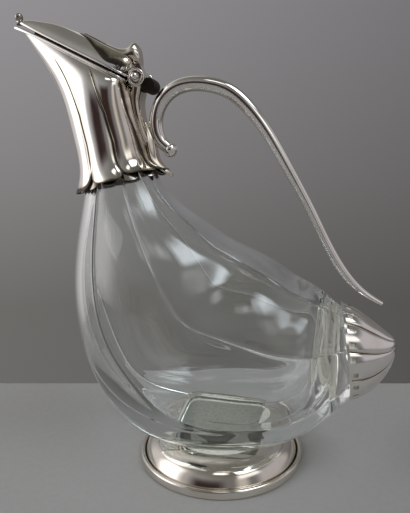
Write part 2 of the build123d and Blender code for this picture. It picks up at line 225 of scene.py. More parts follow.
print("columns of a glass lobe", lobe_columns(8, 6)[1][:6].round(2))

# %% [markdown]
# ## Meshes
# All pieces are grids of rings. A grid that closes on itself both ways makes a wall or a hoop, and one whose
# two ends run into a point makes a solid. Each point may carry a number of how hollow it is, from 0 on a
# crest to 1 deep in a groove, which the finishes use later to leave tarnish where a cloth can't reach. The
# same number
# also paints shade: it is set high in the gap round the lid, in the tail's slots, on the barrel in the corner
# under the handle and just above two of the head's round lobe ends.

# %% Grids to pieces
def rows_of(points):
    return np.asarray(points, float).reshape(-1, 3)


def grid_faces(rows, columns, close_rows):
    """Four-sided faces of a grid whose columns close. close_rows joins its last row to the first too."""
    r = np.arange(rows if close_rows else rows - 1)[:, None]
    c = np.arange(columns)[None, :]
    r2, c2 = (r + 1) % rows, (c + 1) % columns
    quads = np.stack([r * columns + c, r * columns + c2, r2 * columns + c2, r2 * columns + c], axis=-1)
    return [tuple(q) for q in quads.reshape(-1, 4).tolist()]


def outward(mesh):
    """Turns the faces outwards and shades them smooth."""
    work = bmesh.new()
    work.from_mesh(mesh)
    bmesh.ops.recalc_face_normals(work, faces=work.faces)
    for face in work.faces:
        face.smooth = True
    work.to_mesh(mesh)
    work.free()


def new_piece(name, points, faces, hollow_and_shade=None, sharp=35):
    """A mesh object from points in mm. Edges that turn by more than sharp degrees are shaded sharp."""
    mesh = bpy.data.meshes.new(name)
    mesh.from_pydata((rows_of(points) * MM).tolist(), [], faces)
    if hollow_and_shade is not None:
        values = np.asarray(hollow_and_shade, np.float32).ravel()
        mesh.attributes.new("hollow_and_shade", "FLOAT", "POINT").data.foreach_set("value", values)
    outward(mesh)
    mesh.set_sharp_from_angle(angle=math.radians(sharp))
    piece = bpy.data.objects.new(name, mesh)
    bpy.context.scene.collection.objects.link(piece)
    return piece


print("a grid of 3 by 4 has", len(grid_faces(3, 4, True)), "faces")

# %% Hoops, solids and lofts
def hoop(name, grid, hollow_and_shade=None, sharp=35):
    """A piece whose grid closes both ways: a wall or a ring."""
    grid = np.asarray(grid)
    return new_piece(name, grid, grid_faces(grid.shape[0], grid.shape[1], True), hollow_and_shade, sharp)


def closed(name, grid, hollow_and_shade=None, sharp=35):
    """A piece whose grid runs into a point at each end."""
    grid = np.asarray(grid)
    rows, columns = grid.shape[:2]
    faces = grid_faces(rows, columns, False)
    first, last = rows * columns, rows * columns + 1
    for c in range(columns):
        c2 = (c + 1) % columns
        faces.append((first, c2, c))
        faces.append((last, (rows - 1) * columns + c, (rows - 1) * columns + c2))
    points = np.vstack([rows_of(grid), grid[0].mean(axis=0), grid[-1].mean(axis=0)])
    if hollow_and_shade is not None:
        flat = np.asarray(hollow_and_shade).ravel()
        hollow_and_shade = np.concatenate([flat, [flat[:columns].mean(), flat[-columns:].mean()]])
    return new_piece(name, points, faces, hollow_and_shade, sharp)


def full_turn(columns):
    """The angles of this many columns all the way round."""
    return np.linspace(0, 2 * math.pi, columns, endpoint=False)


def lofted(name, stations, rows, columns, hollow_and_shade, sharp):
    """A solid through stations, as hollow at one point as at another."""
    table = stations_at(stations, np.linspace(0, 1, rows))
    grid = ring_points(table[:, None, :], full_turn(columns))
    return closed(name, grid, np.full(grid.shape[:2], hollow_and_shade), sharp)


print("a turn in four", full_turn(4).round(2))

# %% Placing
def place_on(piece, body, slot, *nodes):
    """The piece rides on a body, takes its finish from a slot and stands for these CAD nodes."""
    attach(piece, body)
    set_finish(piece, slot)
    if nodes:
        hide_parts(*nodes)
    print(piece.name, len(piece.data.vertices), "points, stands for", nodes)
    return piece


# %% [markdown]
# ## The glass body
# The real body is blown into a ribbed mould, so it has eight lobes between thin crisp grooves, and it is
# hollow with a heavy floor. For glass the inside counts as much as the outside, because each surface bends
# the light. So one closed skin runs from the tail up the outside, over the lip of the neck and down the
# inside, where the lobes are softer.

# %% The glass's skin
GLASS = [
    station((-74.0, 187.0), (-45.0, 189.5), 14.5),
    station((-75.2, 160.0), (-38.0, 169.8), 18.5),
    station((-79.9, 135.0), (-24.7, 149.9), 26.9),
    station((-83.4, 104.7), (-8.7, 137.5), 39.3),
    station((-78.6, 63.3), (5.8, 127.7), 48.6),
    station((-61.9, 26.0), (18.9, 121.7), 50.6, 1.85),
    station((-35.0, 13.5), (31.8, 114.3), 52.75, 2.25),
    station((9.0, 11.3), (44.4, 105.5), 50.9, 2.3),
    station((45.7, 20.2), (56.9, 99.1), 41.6, 2.15),
    station((70.0, 38.3), (66.6, 91.0), 27.0),
    station((78.0, 46.5), (75.5, 85.0), 19.0),
]
GLASS_GROOVES = [0.3] + [1.1] * 8 + [0.6, 0.3]
GLASS_WALL, GLASS_FLOOR, NECK_WALL = 3.4, 9.0, 2.8
GLASS_LOBES, GLASS_PER_LOBE, GLASS_ROWS, GLASS_CRISP, GLASS_SHARP = 8, 28, 150, 0.45, 60
FLOOR_LEVEL, FLOOR_FADE = 15, 60  # the wall is thickest at this height and thins upwards over this much
NECK_STATIONS, CAVITY_END, CAVITY_GROOVE = 2, 0.45, 0.4


def groove_depth(place, roundness=2.4):
    """0 on a lobe's crest and 1 in its groove. More roundness makes the groove narrower."""
    return np.abs(2 * place) ** roundness


def lobed_skin(stations, grooves, lobes, per_lobe, rows, crisp=0.0, phase=0.0):
    """Rings along the stations, with even lobes. crisp adds a fine line at the bottom of each groove."""
    along = np.linspace(0, 1, rows)
    lobe, place = lobe_columns(lobes, per_lobe)
    table = stations_at(stations, along)[:, None, :]
    depth = natural_spline(knots_of(stations), np.array(grooves)[:, None], along)
    angle = column_angles(even_lobes(lobes, phase)[None, :], lobe, place)
    sunk = (groove_depth(place) + crisp * groove_depth(place, roundness=30))[None, :] * depth
    return ring_points(table, angle, sunk)


def cavity_stations():
    """The room for the wine: thin at the neck and breast, with a heavy floor."""
    made = []
    for k, s in enumerate(GLASS[:-2]):
        low = min(1.0, max(0.0, 1 - (s[FZ] - FLOOR_LEVEL) / FLOOR_FADE))
        floor = GLASS_WALL + (GLASS_FLOOR - GLASS_WALL) * low
        narrow = k < NECK_STATIONS
        made.append(thinner(s, NECK_WALL) if narrow else inset(s, floor, GLASS_WALL, GLASS_WALL))
    end = np.array(GLASS[-3]) + (np.array(GLASS[-2]) - np.array(GLASS[-3])) * CAVITY_END
    return np.array([*made, thinner(end, GLASS_FLOOR)])


def make_glass():
    room = cavity_stations()
    outer = lobed_skin(GLASS, GLASS_GROOVES, GLASS_LOBES, GLASS_PER_LOBE, GLASS_ROWS, GLASS_CRISP)
    inner = lobed_skin(room, [CAVITY_GROOVE] * len(room), GLASS_LOBES, GLASS_PER_LOBE, GLASS_ROWS)
    return closed("duck_glass", np.concatenate([outer[::-1], inner]), sharp=GLASS_SHARP)


glass = make_glass()
print("glass skin", len(glass.data.vertices), "points")

# %% [markdown]
# Under the body is a low square boss with rounded corners, by which the glass sits in its foot. Its corners
# show through the floor of the glass, so it is joined to the skin with a boolean and no face is left inside.

# %% The boss under the glass
BOSS_LENGTH, BOSS_WIDTH, BOSS_CORNER, BOSS_BOTTOM, BOSS_TOP = 46.0, 40.0, 8.0, 8.0, 24.0
BOSS_EDGE = [(0, 1.5), (0.45, 0.6), (1.5, 0), (BOSS_TOP - BOSS_BOTTOM, 0)]  # how far up, how much smaller
CUT_SHARP = 50  # edges that a boolean leaves are sharp past this angle


def rounded_rectangle(length, width, corner, per_corner=12):
    points = []
    for k, (sx, sy) in enumerate(((1, 1), (-1, 1), (-1, -1), (1, -1))):
        for a in np.linspace(k * math.pi / 2, (k + 1) * math.pi / 2, per_corner + 1):
            cx, cy = sx * (length / 2 - corner), sy * (width / 2 - corner)
            points.append((cx + corner * math.cos(a), cy + corner * math.sin(a)))
    return np.array(points)


def boolean(piece, other, operation):
    """Applies a boolean, removes the other object and shades the new surface."""
    modifier = piece.modifiers.new("boolean", "BOOLEAN")
    modifier.object, modifier.operation, modifier.solver = other, operation, "EXACT"
    bpy.context.view_layer.update()
    made = bpy.data.meshes.new_from_object(piece.evaluated_get(bpy.context.evaluated_depsgraph_get()))
    piece.modifiers.clear()
    old, piece.data = piece.data, made
    bpy.data.meshes.remove(old)
    bpy.data.objects.remove(other)
    outward(made)
    made.set_sharp_from_angle(angle=math.radians(CUT_SHARP))
    return piece


def make_boss():
    outline = rounded_rectangle(BOSS_LENGTH, BOSS_WIDTH, BOSS_CORNER)
    rows = []
    for rise, shrink in BOSS_EDGE:
        ring = outline * np.array([1 - 2 * shrink / BOSS_LENGTH, 1 - 2 * shrink / BOSS_WIDTH])
        rows.append(np.column_stack([ring, np.full(len(ring), BOSS_BOTTOM + rise)]))
    return closed("boss", rows, sharp=CUT_SHARP)


place_on(boolean(glass, make_boss(), "UNION"), "jug", "clear_glass", "glass_body")

# %% [markdown]
# ## The head
# The head mount is raised from sheet, with lobes that carry on those of the glass. The grooves draw together
# towards the bill, and each has a fine raised rib in it. The lower edge is cut in round ends, one to a lobe,
# so each column of the grid starts at its own height. Its back lies behind the handle, where it is hardly
# rubbed, so there it counts as a little hollow and keeps a warm film.

# %% The head's stations
RIM_FRONT, RIM_BACK = np.array([-113.4, 247.2]), np.array([-47.0, 213.2])
RIM_HALF_WIDTH, RIM_TAPER, RIM_SHIFT, RIM_THICKNESS = 18.0, 0.7, 0.5, 1.8
RIM_LENGTH = float(np.linalg.norm(RIM_FRONT - RIM_BACK))
RIM_ALONG = (RIM_FRONT - RIM_BACK) / RIM_LENGTH
RIM_UP = np.array([RIM_ALONG[1], -RIM_ALONG[0]])


def rim_station(height, length, start, wide):
    """A station parallel to the rim, at a height above it."""
    front = RIM_BACK + RIM_ALONG * length + RIM_UP * height
    back = RIM_BACK + RIM_ALONG * start + RIM_UP * height
    return station(front, back, wide, 2.0, RIM_TAPER, RIM_SHIFT)


HEAD_FRONT = 0.925  # how far along the rim the sheet of the bill reaches
HEAD = [
    station((-80.2, 156.2), (-27.5, 165.6), 24.0),
    station((-78.9, 163.0), (-34.2, 169.2), 21.9),
    station((-80.3, 177.0), (-39.6, 182.5), 19.7),
    station((-84.4, 194.0), (-42.6, 196.0), 19.2, 2.0, 0.08, 0.05),
    station((-91.1, 213.5), (-44.6, 205.8), 19.8, 2.0, 0.28, 0.2),
    station((-101.3, 231.2), (-46.2, 209.8), 19.0, 2.0, 0.5, 0.38),
    rim_station(-RIM_THICKNESS, RIM_LENGTH * HEAD_FRONT, 0, RIM_HALF_WIDTH),
]
# The grooves on the near side at each station, in degrees from the front.
HEAD_GROOVES = [
    (22.5, 66, 111, 160),
    (22.5, 67.5, 111, 158),
    (22, 68.3, 112, 154),
    (21, 64.6, 107, 145),
    (18, 52.7, 95, 140),
    (12, 44.5, 87, 136),
    (6, 25, 81.5, 130),
]
print("rim length", round(RIM_LENGTH, 1), "mm, up", RIM_UP.round(3))

# %% The head mount
PLATE, PLATE_SHARP = 1.2, 50  # the sheet's thickness, and past how many degrees its edges are sharp
INSIDE_HOLLOW = 0.8  # the mount's inside is never rubbed
HEAD_LOBES, HEAD_PER_LOBE, HEAD_ROWS = 8, 32, 150
HEAD_GROOVE, GROOVE_FADE = 1.1, 6  # depth; the grooves fade over the last sixth, below the bill
RIB_HEIGHT, RIB_HALF_WIDTH, RIB_FADE = 0.5, 0.5, 8
TOE_NOTCH, TOE_SWELL, TOE_FADE, TOE_SHADE_FADE = 4.6, 0.9, 9, 14
TOE_DROP = np.array([5.0, 5.0, 1.8, -2.5, -1.0, -2.5, 1.8, 5.0])  # how low each lobe's round end reaches
SHADED_TOES = (1, 6)  # the lobes painted with shade just above their round ends
WARM_BACK = 0.32  # how much of a hollow the mount's unrubbed back counts as
WARM_FROM, WARM_OVER = 0.62, 0.2  # where that back begins, as a share of the way round, and how softly


def mirrored_grooves(near):
    """All nine groove angles, from those of the near side, in radians."""
    near = np.asarray(near, float)
    first = -near[:, :1]
    return np.radians(np.concatenate([first, near, 360 - near[:, ::-1]], axis=1))


def head_skin(wall):
    """The head's skin, outside for no wall, and how hollow each point is."""
    lobe, place = lobe_columns(HEAD_LOBES, HEAD_PER_LOBE)
    share = np.linspace(0, 1, HEAD_ROWS)[:, None]
    length = sum(np.hypot(*(np.array(b[FX : FZ + 1]) - a[FX : FZ + 1])) for a, b in zip(HEAD, HEAD[1:]))
    drop = TOE_DROP[lobe] * (1 - np.abs(2 * place) ** 3)
    start = (TOE_NOTCH * np.abs(2 * place) ** 5 - drop)[None, :] / length
    along = start + (1 - start) * share
    rows = stations_at(HEAD, along)
    knots = knots_of(HEAD)
    table = mirrored_grooves(HEAD_GROOVES)
    grooves = np.stack([np.interp(along, knots, column) for column in table.T], axis=-1)
    which = lobe[None, :, None].repeat(HEAD_ROWS, 0)
    low, high = (np.take_along_axis(grooves, which + k, -1)[..., 0] for k in (0, 1))
    angle = low + (high - low) * (place + 0.5)
    deep = np.hypot(rows[..., FX] - rows[..., BX], rows[..., FZ] - rows[..., BZ])
    lobe_width = (high - low) * (rows[..., WIDE] + deep / 2) / 2
    away = (0.5 - np.abs(place)) * lobe_width  # mm from the groove
    fade = np.clip((1 - along) * GROOVE_FADE, 0, 1)
    swell = TOE_SWELL * np.exp(-(share * TOE_FADE)) * np.cos(place * math.pi)
    sunk = HEAD_GROOVE * (groove_depth(place)[None, :] * fade - swell)
    rib = RIB_HEIGHT * np.exp(-((away / RIB_HALF_WIDTH) ** 2)) * fade * np.clip(share * RIB_FADE, 0, 1)
    if wall:
        rows, rib = thinner(rows, wall), 0
    hollow_and_shade = groove_depth(place, roundness=9)[None, :] * fade + np.exp(-share * HEAD_ROWS / 3)
    # painted shade: the lowest rows of lobes 1 and 6 are darkened, fading upwards
    toe_shade = np.clip(1 - share * TOE_SHADE_FADE, 0, 1) * np.isin(lobe, SHADED_TOES)
    warm = WARM_BACK * np.clip(((1 - np.cos(angle)) / 2 - WARM_FROM) / WARM_OVER, 0, 1)
    return ring_points(rows, angle, sunk - rib), np.clip(hollow_and_shade + toe_shade + warm, 0, 1)


def make_head():
    outer, hollow_and_shade = head_skin(0)
    inner, _ = head_skin(PLATE)
    grid = np.concatenate([outer, inner[::-1]])
    inside = np.full(hollow_and_shade.shape, INSIDE_HOLLOW)
    return hoop("head_shell", grid, np.concatenate([hollow_and_shade, inside]), PLATE_SHARP)


place_on(make_head(), "jug", "silver_plate", "head_mount")

# %% [markdown]
# The opening under the bill has a heavier rim, soldered on and rounded by polishing. It is a small rounded
# section carried round the ring of the mouth. The lid's bezel is made in the same way just above it, and so
# is a flange inside, which keeps the lid in place. The dark line in the gap is painted shade: the flange is
# painted dark all over, and the rim's and the bezel's faces towards the gap count as hollow so that they
# darken.

# %% Sections round the mouth
LIFT_START, LIFT_MOST = 0.6, 1.1  # the bend at the bill's tip starts this far along and grows to this much
GAP_SHADE_LIP, GAP_SHADE_WALL = 0.25, 0.4  # how far the painted shade of the gap reaches past its edge and into the wall
ROUND_SHARP = 80


def rounded_section(inner, outer, low, high, radius, per_corner=5):
    """A rounded rectangle: pairs of how far out and how high."""
    points = []
    corners = ((outer, high), (inner, high), (inner, low), (outer, low))
    for k, (o, h) in enumerate(corners):
        co = o - radius if o == outer else o + radius
        ch = h - radius if h == high else h + radius
        for a in np.linspace(k * math.pi / 2, (k + 1) * math.pi / 2, per_corner):
            points.append((co + radius * math.cos(a), ch + radius * math.sin(a)))
    return points


def lifted(points, lift):
    """Bends points up, square to the rim, by lift at the bill's tip. The bend starts past the middle."""
    points = np.asarray(points, float)
    along = (points[..., [0, 2]] - RIM_BACK) @ RIM_ALONG / RIM_LENGTH
    bend = lift * np.clip((along - LIFT_START) / (1 - LIFT_START), 0, LIFT_MOST) ** 2
    points[..., 0] += RIM_UP[0] * bend
    points[..., 2] += RIM_UP[1] * bend
    return points


def rim_hoop(name, section, lift, shaded_side, share=1.0, columns=256):
    """The section carried round the mouth. Its points between the two heights of the shaded side face the
    gap; they and the points deep in the wall are painted dark as the gap's shade.
    """
    rows = []
    for out, height in section:
        base = np.array(rim_station(height, RIM_LENGTH * share, 0, RIM_HALF_WIDTH))
        base = prouder(base, out) if out > 0 else thinner(base, -out)
        rows.append(lifted(ring_points(base[None, :], full_turn(columns)), lift))
    low, high = shaded_side
    hollow_and_shade = [[float(low < height < high or out < -GAP_SHADE_WALL)] * columns for out, height in section]
    return hoop(name, rows, hollow_and_shade, ROUND_SHARP)


print("a rounded section has", len(rounded_section(0, 2, 0, 2, 0.5)), "points")

# %% The rim and the lid's flange
RIM_PROUD, RIM_WALL, RIM_ROUND, RIM_SUNK, RIM_DROP = 0.8, 1.6, 0.7, 0.2, -1.0
RIM_SHARE = 0.996  # the rim stops just short of the bill's tip
LID_GAP, BEZEL_RAISED, LID_LIFT = 0.3, 0.3, 0.3
BEZEL_BOTTOM = LID_GAP + BEZEL_RAISED
rim_section = rounded_section(-RIM_WALL, RIM_PROUD, -RIM_THICKNESS, -RIM_SUNK, RIM_ROUND)
# painted shade: the rim's faces towards the gap are darkened as the gap's shade
rim = rim_hoop("bill_mouth_rim", rim_section, RIM_DROP, (-RIM_SUNK - GAP_SHADE_LIP, 1), RIM_SHARE)
place_on(rim, "jug", "silver_plate", "bill_rim")
FLANGE = (-3.4, -2.2, -1.9, BEZEL_BOTTOM + 0.6, 0.3)  # inner side, outer side, bottom, top, corner
FLANGE_SHARE = 0.95  # the flange stops short of the bill's narrow tip
# every height lies in this span, so the whole flange is painted dark as the shade in the gap
ALL_SHADED = (-9, 9)
flange = rim_hoop("lid_flange", rounded_section(*FLANGE), 0, ALL_SHADED, FLANGE_SHARE)
place_on(flange, "lid", "dark_plate")

# %% [markdown]
# ## The ruff under the head
# Where the mount ends, a ring of small cast leaves grips the glass. It takes the dark plate, which paints on
# it the shade that lies under the head, with tarnish in its creases. Twelve scallops with round ends give its
# outline.

# %% The ruff
RUFF = [
    station((-76.6, 166.0), (-39.4, 173.5), 18.6),
    station((-77.2, 158.5), (-33.6, 167.4), 21.2),
    station((-77.6, 153.0), (-29.6, 163.4), 23.4),
]
RUFF_WALL, RUFF_LOBES, RUFF_PER_LOBE, RUFF_ROWS = 1.4, 12, 16, 26
RUFF_NOTCH, RUFF_RIB, RUFF_RIB_WIDTH = 0.34, 0.5, 0.06
RUFF_DEPTH = [0, 0.5, 1], [0.2, 1.0, 2.0]  # share of the leaf, depth between the leaves


def ruff_skin(wall):
    lobe, place = lobe_columns(RUFF_LOBES, RUFF_PER_LOBE)
    share = np.linspace(0, 1, RUFF_ROWS)[:, None]
    along = share * (1 - RUFF_NOTCH * np.abs(2 * place)[None, :] ** 3)
    rows = stations_at(RUFF, along)
    rows = thinner(rows, wall) if wall else rows
    angle = column_angles(even_lobes(RUFF_LOBES)[None, :], lobe, place)
    depth = np.interp(along, *RUFF_DEPTH)
    rib = RUFF_RIB * np.exp(-((place[None, :] / RUFF_RIB_WIDTH) ** 2)) * share
    sunk = depth * groove_depth(place)[None, :] - (0 if wall else rib)
    hollow_and_shade = groove_depth(place, roundness=6)[None, :] + np.zeros_like(along)
    return ring_points(rows, angle, sunk), hollow_and_shade


def make_ruff():
    outer, hollow_and_shade = ruff_skin(0)
    inner, _ = ruff_skin(RUFF_WALL)
    grid = np.concatenate([outer, inner[::-1]])
    return hoop("ruff_of_leaves", grid, np.concatenate([hollow_and_shade, hollow_and_shade * 0 + 1]), PLATE_SHARP)


# the dark plate paints the shade under the head onto the ruff
place_on(make_ruff(), "jug", "dark_plate", "neck_ruff")

# %% [markdown]
# ## The lid
# The lid is the upper half of the bill: a low dome of sheet on a bezel that follows the rim. Each level of
# the dome is one ring parallel to the rim, shorter and narrower than the one below. Its inside is a second
# skin that starts a few rows up, behind the bezel.

# %% The lid's bezel and dome
DOME_LEVELS = [  # height above the bezel, end and start along the rim, half width
    (0.0, 74.0, 1.0, 17.4),
    (2.8, 68.3, 0.8, 16.5),
    (5.2, 61.0, 1.0, 14.7),
    (7.2, 53.4, 2.4, 11.6),
    (8.4, 44.5, 7.0, 7.6),
    (9.1, 36.0, 15.0, 3.2),
]
BEZEL_THICKNESS, BEZEL_WALL = 1.6, 1.6
LID_BASE = LID_GAP + BEZEL_THICKNESS
DOME_ROWS, DOME_COLUMNS, DOME_INSIDE = 46, 192, 3
BEZEL_PROUD, BEZEL_OVER, BEZEL_ROUND = 0.5, 0.2, 0.6


def dome_skin(base, wall):
    stations = [rim_station(base + h, end, start, w) for h, end, start, w in DOME_LEVELS]
    rows = stations_at(stations, np.linspace(0, 1, DOME_ROWS))
    rows = thinner(rows, wall) if wall else rows
    return ring_points(rows[:, None, :], full_turn(DOME_COLUMNS))


def make_dome():
    outer, inner = dome_skin(LID_BASE, 0), dome_skin(LID_BASE - PLATE, PLATE)
    outer, inner = lifted(outer, LID_LIFT), lifted(inner[DOME_INSIDE:], LID_LIFT)
    hollow_and_shade = np.concatenate([np.zeros(outer.shape[:2]), np.ones(inner.shape[:2])])
    return closed("lid_shell", np.concatenate([outer[::-1], inner]), hollow_and_shade, PLATE_SHARP)


edge = rounded_section(-BEZEL_WALL, BEZEL_PROUD, BEZEL_BOTTOM, LID_BASE + BEZEL_OVER, BEZEL_ROUND)
# painted shade: the bezel's faces towards the gap are darkened as the gap's shade
bezel = rim_hoop("lid_edge", edge, LID_LIFT, (0, BEZEL_BOTTOM + GAP_SHADE_LIP))
place_on(bezel, "lid", "silver_plate", "lid_bezel")
place_on(make_dome(), "lid", "silver_plate", "lid_dome")

# %% [markdown]
# The lid is pushed up with a thumbpiece, a small cast leaf that stands behind the dome. It is a thick lump
# that swells and tapers, so it is drawn by stations and not bent from a sheet.

# %% The thumbpiece
THUMB = [
    station((-64.0, 234.6), (-64.4, 232.6), 0.8),
    station((-59.0, 233.2), (-59.6, 229.5), 3.2),
    station((-54.2, 231.2), (-54.8, 226.5), 4.8),
    station((-50.4, 230.4), (-51.0, 223.0), 5.4),
    station((-47.2, 231.4), (-46.9, 221.0), 5.6),
    station((-44.1, 233.0), (-43.0, 220.5), 5.4),
    station((-41.6, 230.6), (-40.8, 219.8), 4.2),
]
CAST_SHARP = 60
thumb = lofted("thumb_leaf_cast", THUMB, 90, 120, WARM_BACK, CAST_SHARP)
place_on(thumb, "lid", "silver_plate", "thumb_leaf")

# %% [markdown]
# Under the thumbpiece the casting spreads over the dome as a leaf with three ridges. Its outline is drawn in
# the plane of the rim, and each of its points is then dropped on the dome, so that it lies close everywhere.

# %% The leaf on the dome
LEAF_TIP, LEAF_BACK, LEAF_PROUD, LEAF_EDGE, LEAF_SUNK = 38.0, 1.5, 1.1, 0.05, 0.3
LEAF_HALF_WIDTH, LEAF_TIP_WIDTH, LEAF_WIDENS, LEAF_ROUND = 11.8, 0.4, 1.25, 1.15
LEAF_ROWS, LEAF_COLUMNS, LEAF_DROP, LEAF_RISES = 60, 48, 40, 10
RIDGES, VALLEY = 3, 0.45  # a valley between the ridges stands this share as proud as they do
UP = np.array([RIM_UP[0], 0, RIM_UP[1]])


def on_rim(along, y, height):
    """A point by its place along the rim from the back, its y and its height above the rim."""
    place = RIM_BACK + RIM_ALONG * along + RIM_UP * height
    return np.array([place[0], y, place[1]])


def make_leaf_on(dome):
    tree = BVHTree.FromObject(dome, bpy.context.evaluated_depsgraph_get())
    top, bottom, hollow_and_shade = [], [], []
    for along in np.linspace(LEAF_TIP, LEAF_BACK, LEAF_ROWS):
        share = (LEAF_TIP - along) / (LEAF_TIP - LEAF_BACK)
        opened = math.sin(min(1, share * LEAF_WIDENS) * math.pi / 2) ** LEAF_ROUND
        half = LEAF_TIP_WIDTH + LEAF_HALF_WIDTH * opened
        row_top, row_bottom = [], []
        for v in np.linspace(-1, 1, LEAF_COLUMNS):
            start = Vector(on_rim(along, v * half, LEAF_DROP)) * MM
            hit = tree.ray_cast(start, Vector(-UP))[0]
            base = np.array(hit) / MM if hit is not None else on_rim(along, v * half, LID_BASE)
            ridge = 0.5 + 0.5 * math.cos(RIDGES * math.pi * v)
            edge = max(0.0, 1 - abs(v) ** 6) ** 0.5
            proud = LEAF_PROUD * edge * (VALLEY + (1 - VALLEY) * ridge) * min(1, share * LEAF_RISES)
            row_top.append(base + UP * (LEAF_EDGE + proud))
            row_bottom.append(base - UP * LEAF_SUNK)
            hollow_and_shade.append(WARM_BACK + (1 - WARM_BACK) * (1 - ridge))
        top.append(row_top)
        bottom.append(row_bottom[::-1])
    grid = np.concatenate([np.array(top), np.array(bottom)], axis=1)
    hollow_and_shade = np.array(hollow_and_shade).reshape(LEAF_ROWS, LEAF_COLUMNS)
    return closed("lid_leaf", grid, np.concatenate([hollow_and_shade, np.ones_like(hollow_and_shade)], axis=1), PLATE_SHARP)


place_on(make_leaf_on(bpy.data.objects["lid_shell"]), "lid", "silver_plate")

# %% [markdown]
# ## Turned pieces
# Studs, knuckles, finial, ball and foot are turned, so each is a profile spun round an axis. A profile that
# starts at the axis gives a solid, and one that stays away from it gives a ring. The two studs are the heads
# of the hinge's pin, one on each side.

# %% Turning
AT_AXIS = 0.3  # a profile that starts nearer the axis than this gives a solid
ON_AXIS = 0.05  # where such a profile starts and ends
ACROSS, UPRIGHT = (0, 1, 0), (0, 0, 1)


def turned(name, profile, centre, axis, segments, sharp=40, tarnish_and_shade=0.0):
    """Spins a profile of (radius, height along the axis) pairs, in mm, into a closed piece."""
    axis = np.array(axis, float) / np.linalg.norm(axis)
    side = np.cross(axis, [0, 1, 0] if abs(axis[1]) < 0.9 else [1, 0, 0])
    side /= np.linalg.norm(side)
    other = np.cross(axis, side)
    turn = full_turn(segments)[None, :, None]
    profile = np.asarray(profile, float)
    radius, height = profile[:, 0][:, None, None], profile[:, 1][:, None, None]
    grid = np.asarray(centre) + height * axis + radius * (np.cos(turn) * side + np.sin(turn) * other)
    hollow_and_shade = np.full(grid.shape[:2], tarnish_and_shade)
    return (closed if profile[0, 0] < AT_AXIS else hoop)(name, grid, hollow_and_shade, sharp)


def arc(cx, cy, radius, start, end, count=12):
    """Points of an arc of a profile, from start to end in degrees."""
    turn = np.radians(np.linspace(start, end, count))
    return [(cx + radius * math.cos(a), cy + radius * math.sin(a)) for a in turn]


def rod(radius, start, end):
    """The profile of a plain rod between two heights."""
    return [(ON_AXIS, start), (radius, start), (radius, end), (ON_AXIS, end)]


HINGE_BEHIND, HINGE_ABOVE, STUD_SIDE = 4.55, 3.0, 7.45
HINGE = RIM_BACK - RIM_ALONG * HINGE_BEHIND + RIM_UP * HINGE_ABOVE
STUD = (
    [(ON_AXIS, 0.0), (4.4, 0.0)]
    + arc(4.1, 0.6, 0.6, -80, 0, 6)
    + arc(4.0, 1.6, 0.7, 0, 180, 10)
    + [(3.2, 1.3), (2.4, 1.2), (1.5, 1.5), (1.3, 2.2)]
    + arc(0.0, 3.8, 2.0, -50, 89, 16)
)
for side, name in ((-1, "pin_stud_left"), (1, "pin_stud_right")):
    stud = turned(name + "_turned", STUD, (HINGE[0], side * STUD_SIDE, HINGE[1]), (0, side, 0), 64)
    place_on(stud, "jug", "silver_plate", name)

# %% [markdown]
# The hinge stands on a strap soldered up the mount's back, which ends in two knuckles with the lid's knuckle
# between them. A boxed plate would show sharp corners where the real casting was filed round, so the strap is
# a run of rounded sections, with the room for the lid's knuckle cut out by a boolean.

# %% The hinge's strap and knuckles
STRAP = [
    station((-41.6, 176.8), (-38.8, 176.2), 1.0),
    station((-42.4, 180.2), (-37.0, 179.0), 3.9, 2.3),
    station((-43.3, 186.0), (-38.0, 185.0), 5.9, 2.5),
    station((-44.4, 192.0), (-39.5, 191.0), 6.8, 2.7),
    station((-45.4, 198.0), (-40.6, 197.0), 7.2, 2.8),
    station((-46.2, 204.0), (-40.7, 203.0), 7.4, 2.8),
    station((-46.2, 209.0), (-39.3, 208.4), 7.4, 2.8),
    station((-45.9, 212.2), (-38.7, 212.2), 7.4, 2.8),
]
KNUCKLE_RADIUS, KNUCKLE_START, KNUCKLE_END, KNUCKLE_ROOM = 3.2, 3.4, 7.4, 4.4
strap = lofted("hinge_strap", STRAP, 60, 96, WARM_BACK, PLATE_SHARP)
room = rod(KNUCKLE_ROOM, -KNUCKLE_START, KNUCKLE_START)
cutter = turned("knuckle_room", room, (HINGE[0], 0, HINGE[1]), ACROSS, 64)
place_on(boolean(strap, cutter, "DIFFERENCE"), "jug", "silver_plate", "hinge_bracket")
half = (KNUCKLE_END - KNUCKLE_START) / 2
for side, name in ((-1, "left_knuckle"), (1, "right_knuckle")):
    place = (HINGE[0], side * (KNUCKLE_START + half), HINGE[1])
    knuckle = turned(name, rod(KNUCKLE_RADIUS, -half, half), place, ACROSS, 64, PLATE_SHARP, WARM_BACK)
    place_on(knuckle, "jug", "silver_plate")

# %% [markdown]
# A short barrel lies behind the strap, in the corner under the handle's root. It is painted dark as the shade
# of that corner: it counts as hollow as can be all over and takes the dark plate.

# %% The hinge's barrel
BARREL_PLACE, BARREL_RADIUS, BARREL_HALF_LENGTH, BARREL_CORNER = (-36.2, 0, 210.2), 4.0, 5.2, 0.8
flat_radius, flat_height = BARREL_RADIUS - BARREL_CORNER, BARREL_HALF_LENGTH - BARREL_CORNER
BARREL = (
    [(ON_AXIS, -BARREL_HALF_LENGTH), (flat_radius, -BARREL_HALF_LENGTH)]
    + arc(flat_radius, -flat_height, BARREL_CORNER, -90, 0, 5)
    + arc(flat_radius, flat_height, BARREL_CORNER, 0, 90, 5)
    + [(ON_AXIS, BARREL_HALF_LENGTH)]
)
# painted shade: the barrel is darkened all over as the shade of its corner
barrel = turned("hinge_barrel", BARREL, BARREL_PLACE, ACROSS, 64, PLATE_SHARP, tarnish_and_shade=1.0)
place_on(barrel, "jug", "dark_plate")

# %% [markdown]
# A bead on a short stem ends the bill's tip. It is turned too, and leans forward a little with the lid.

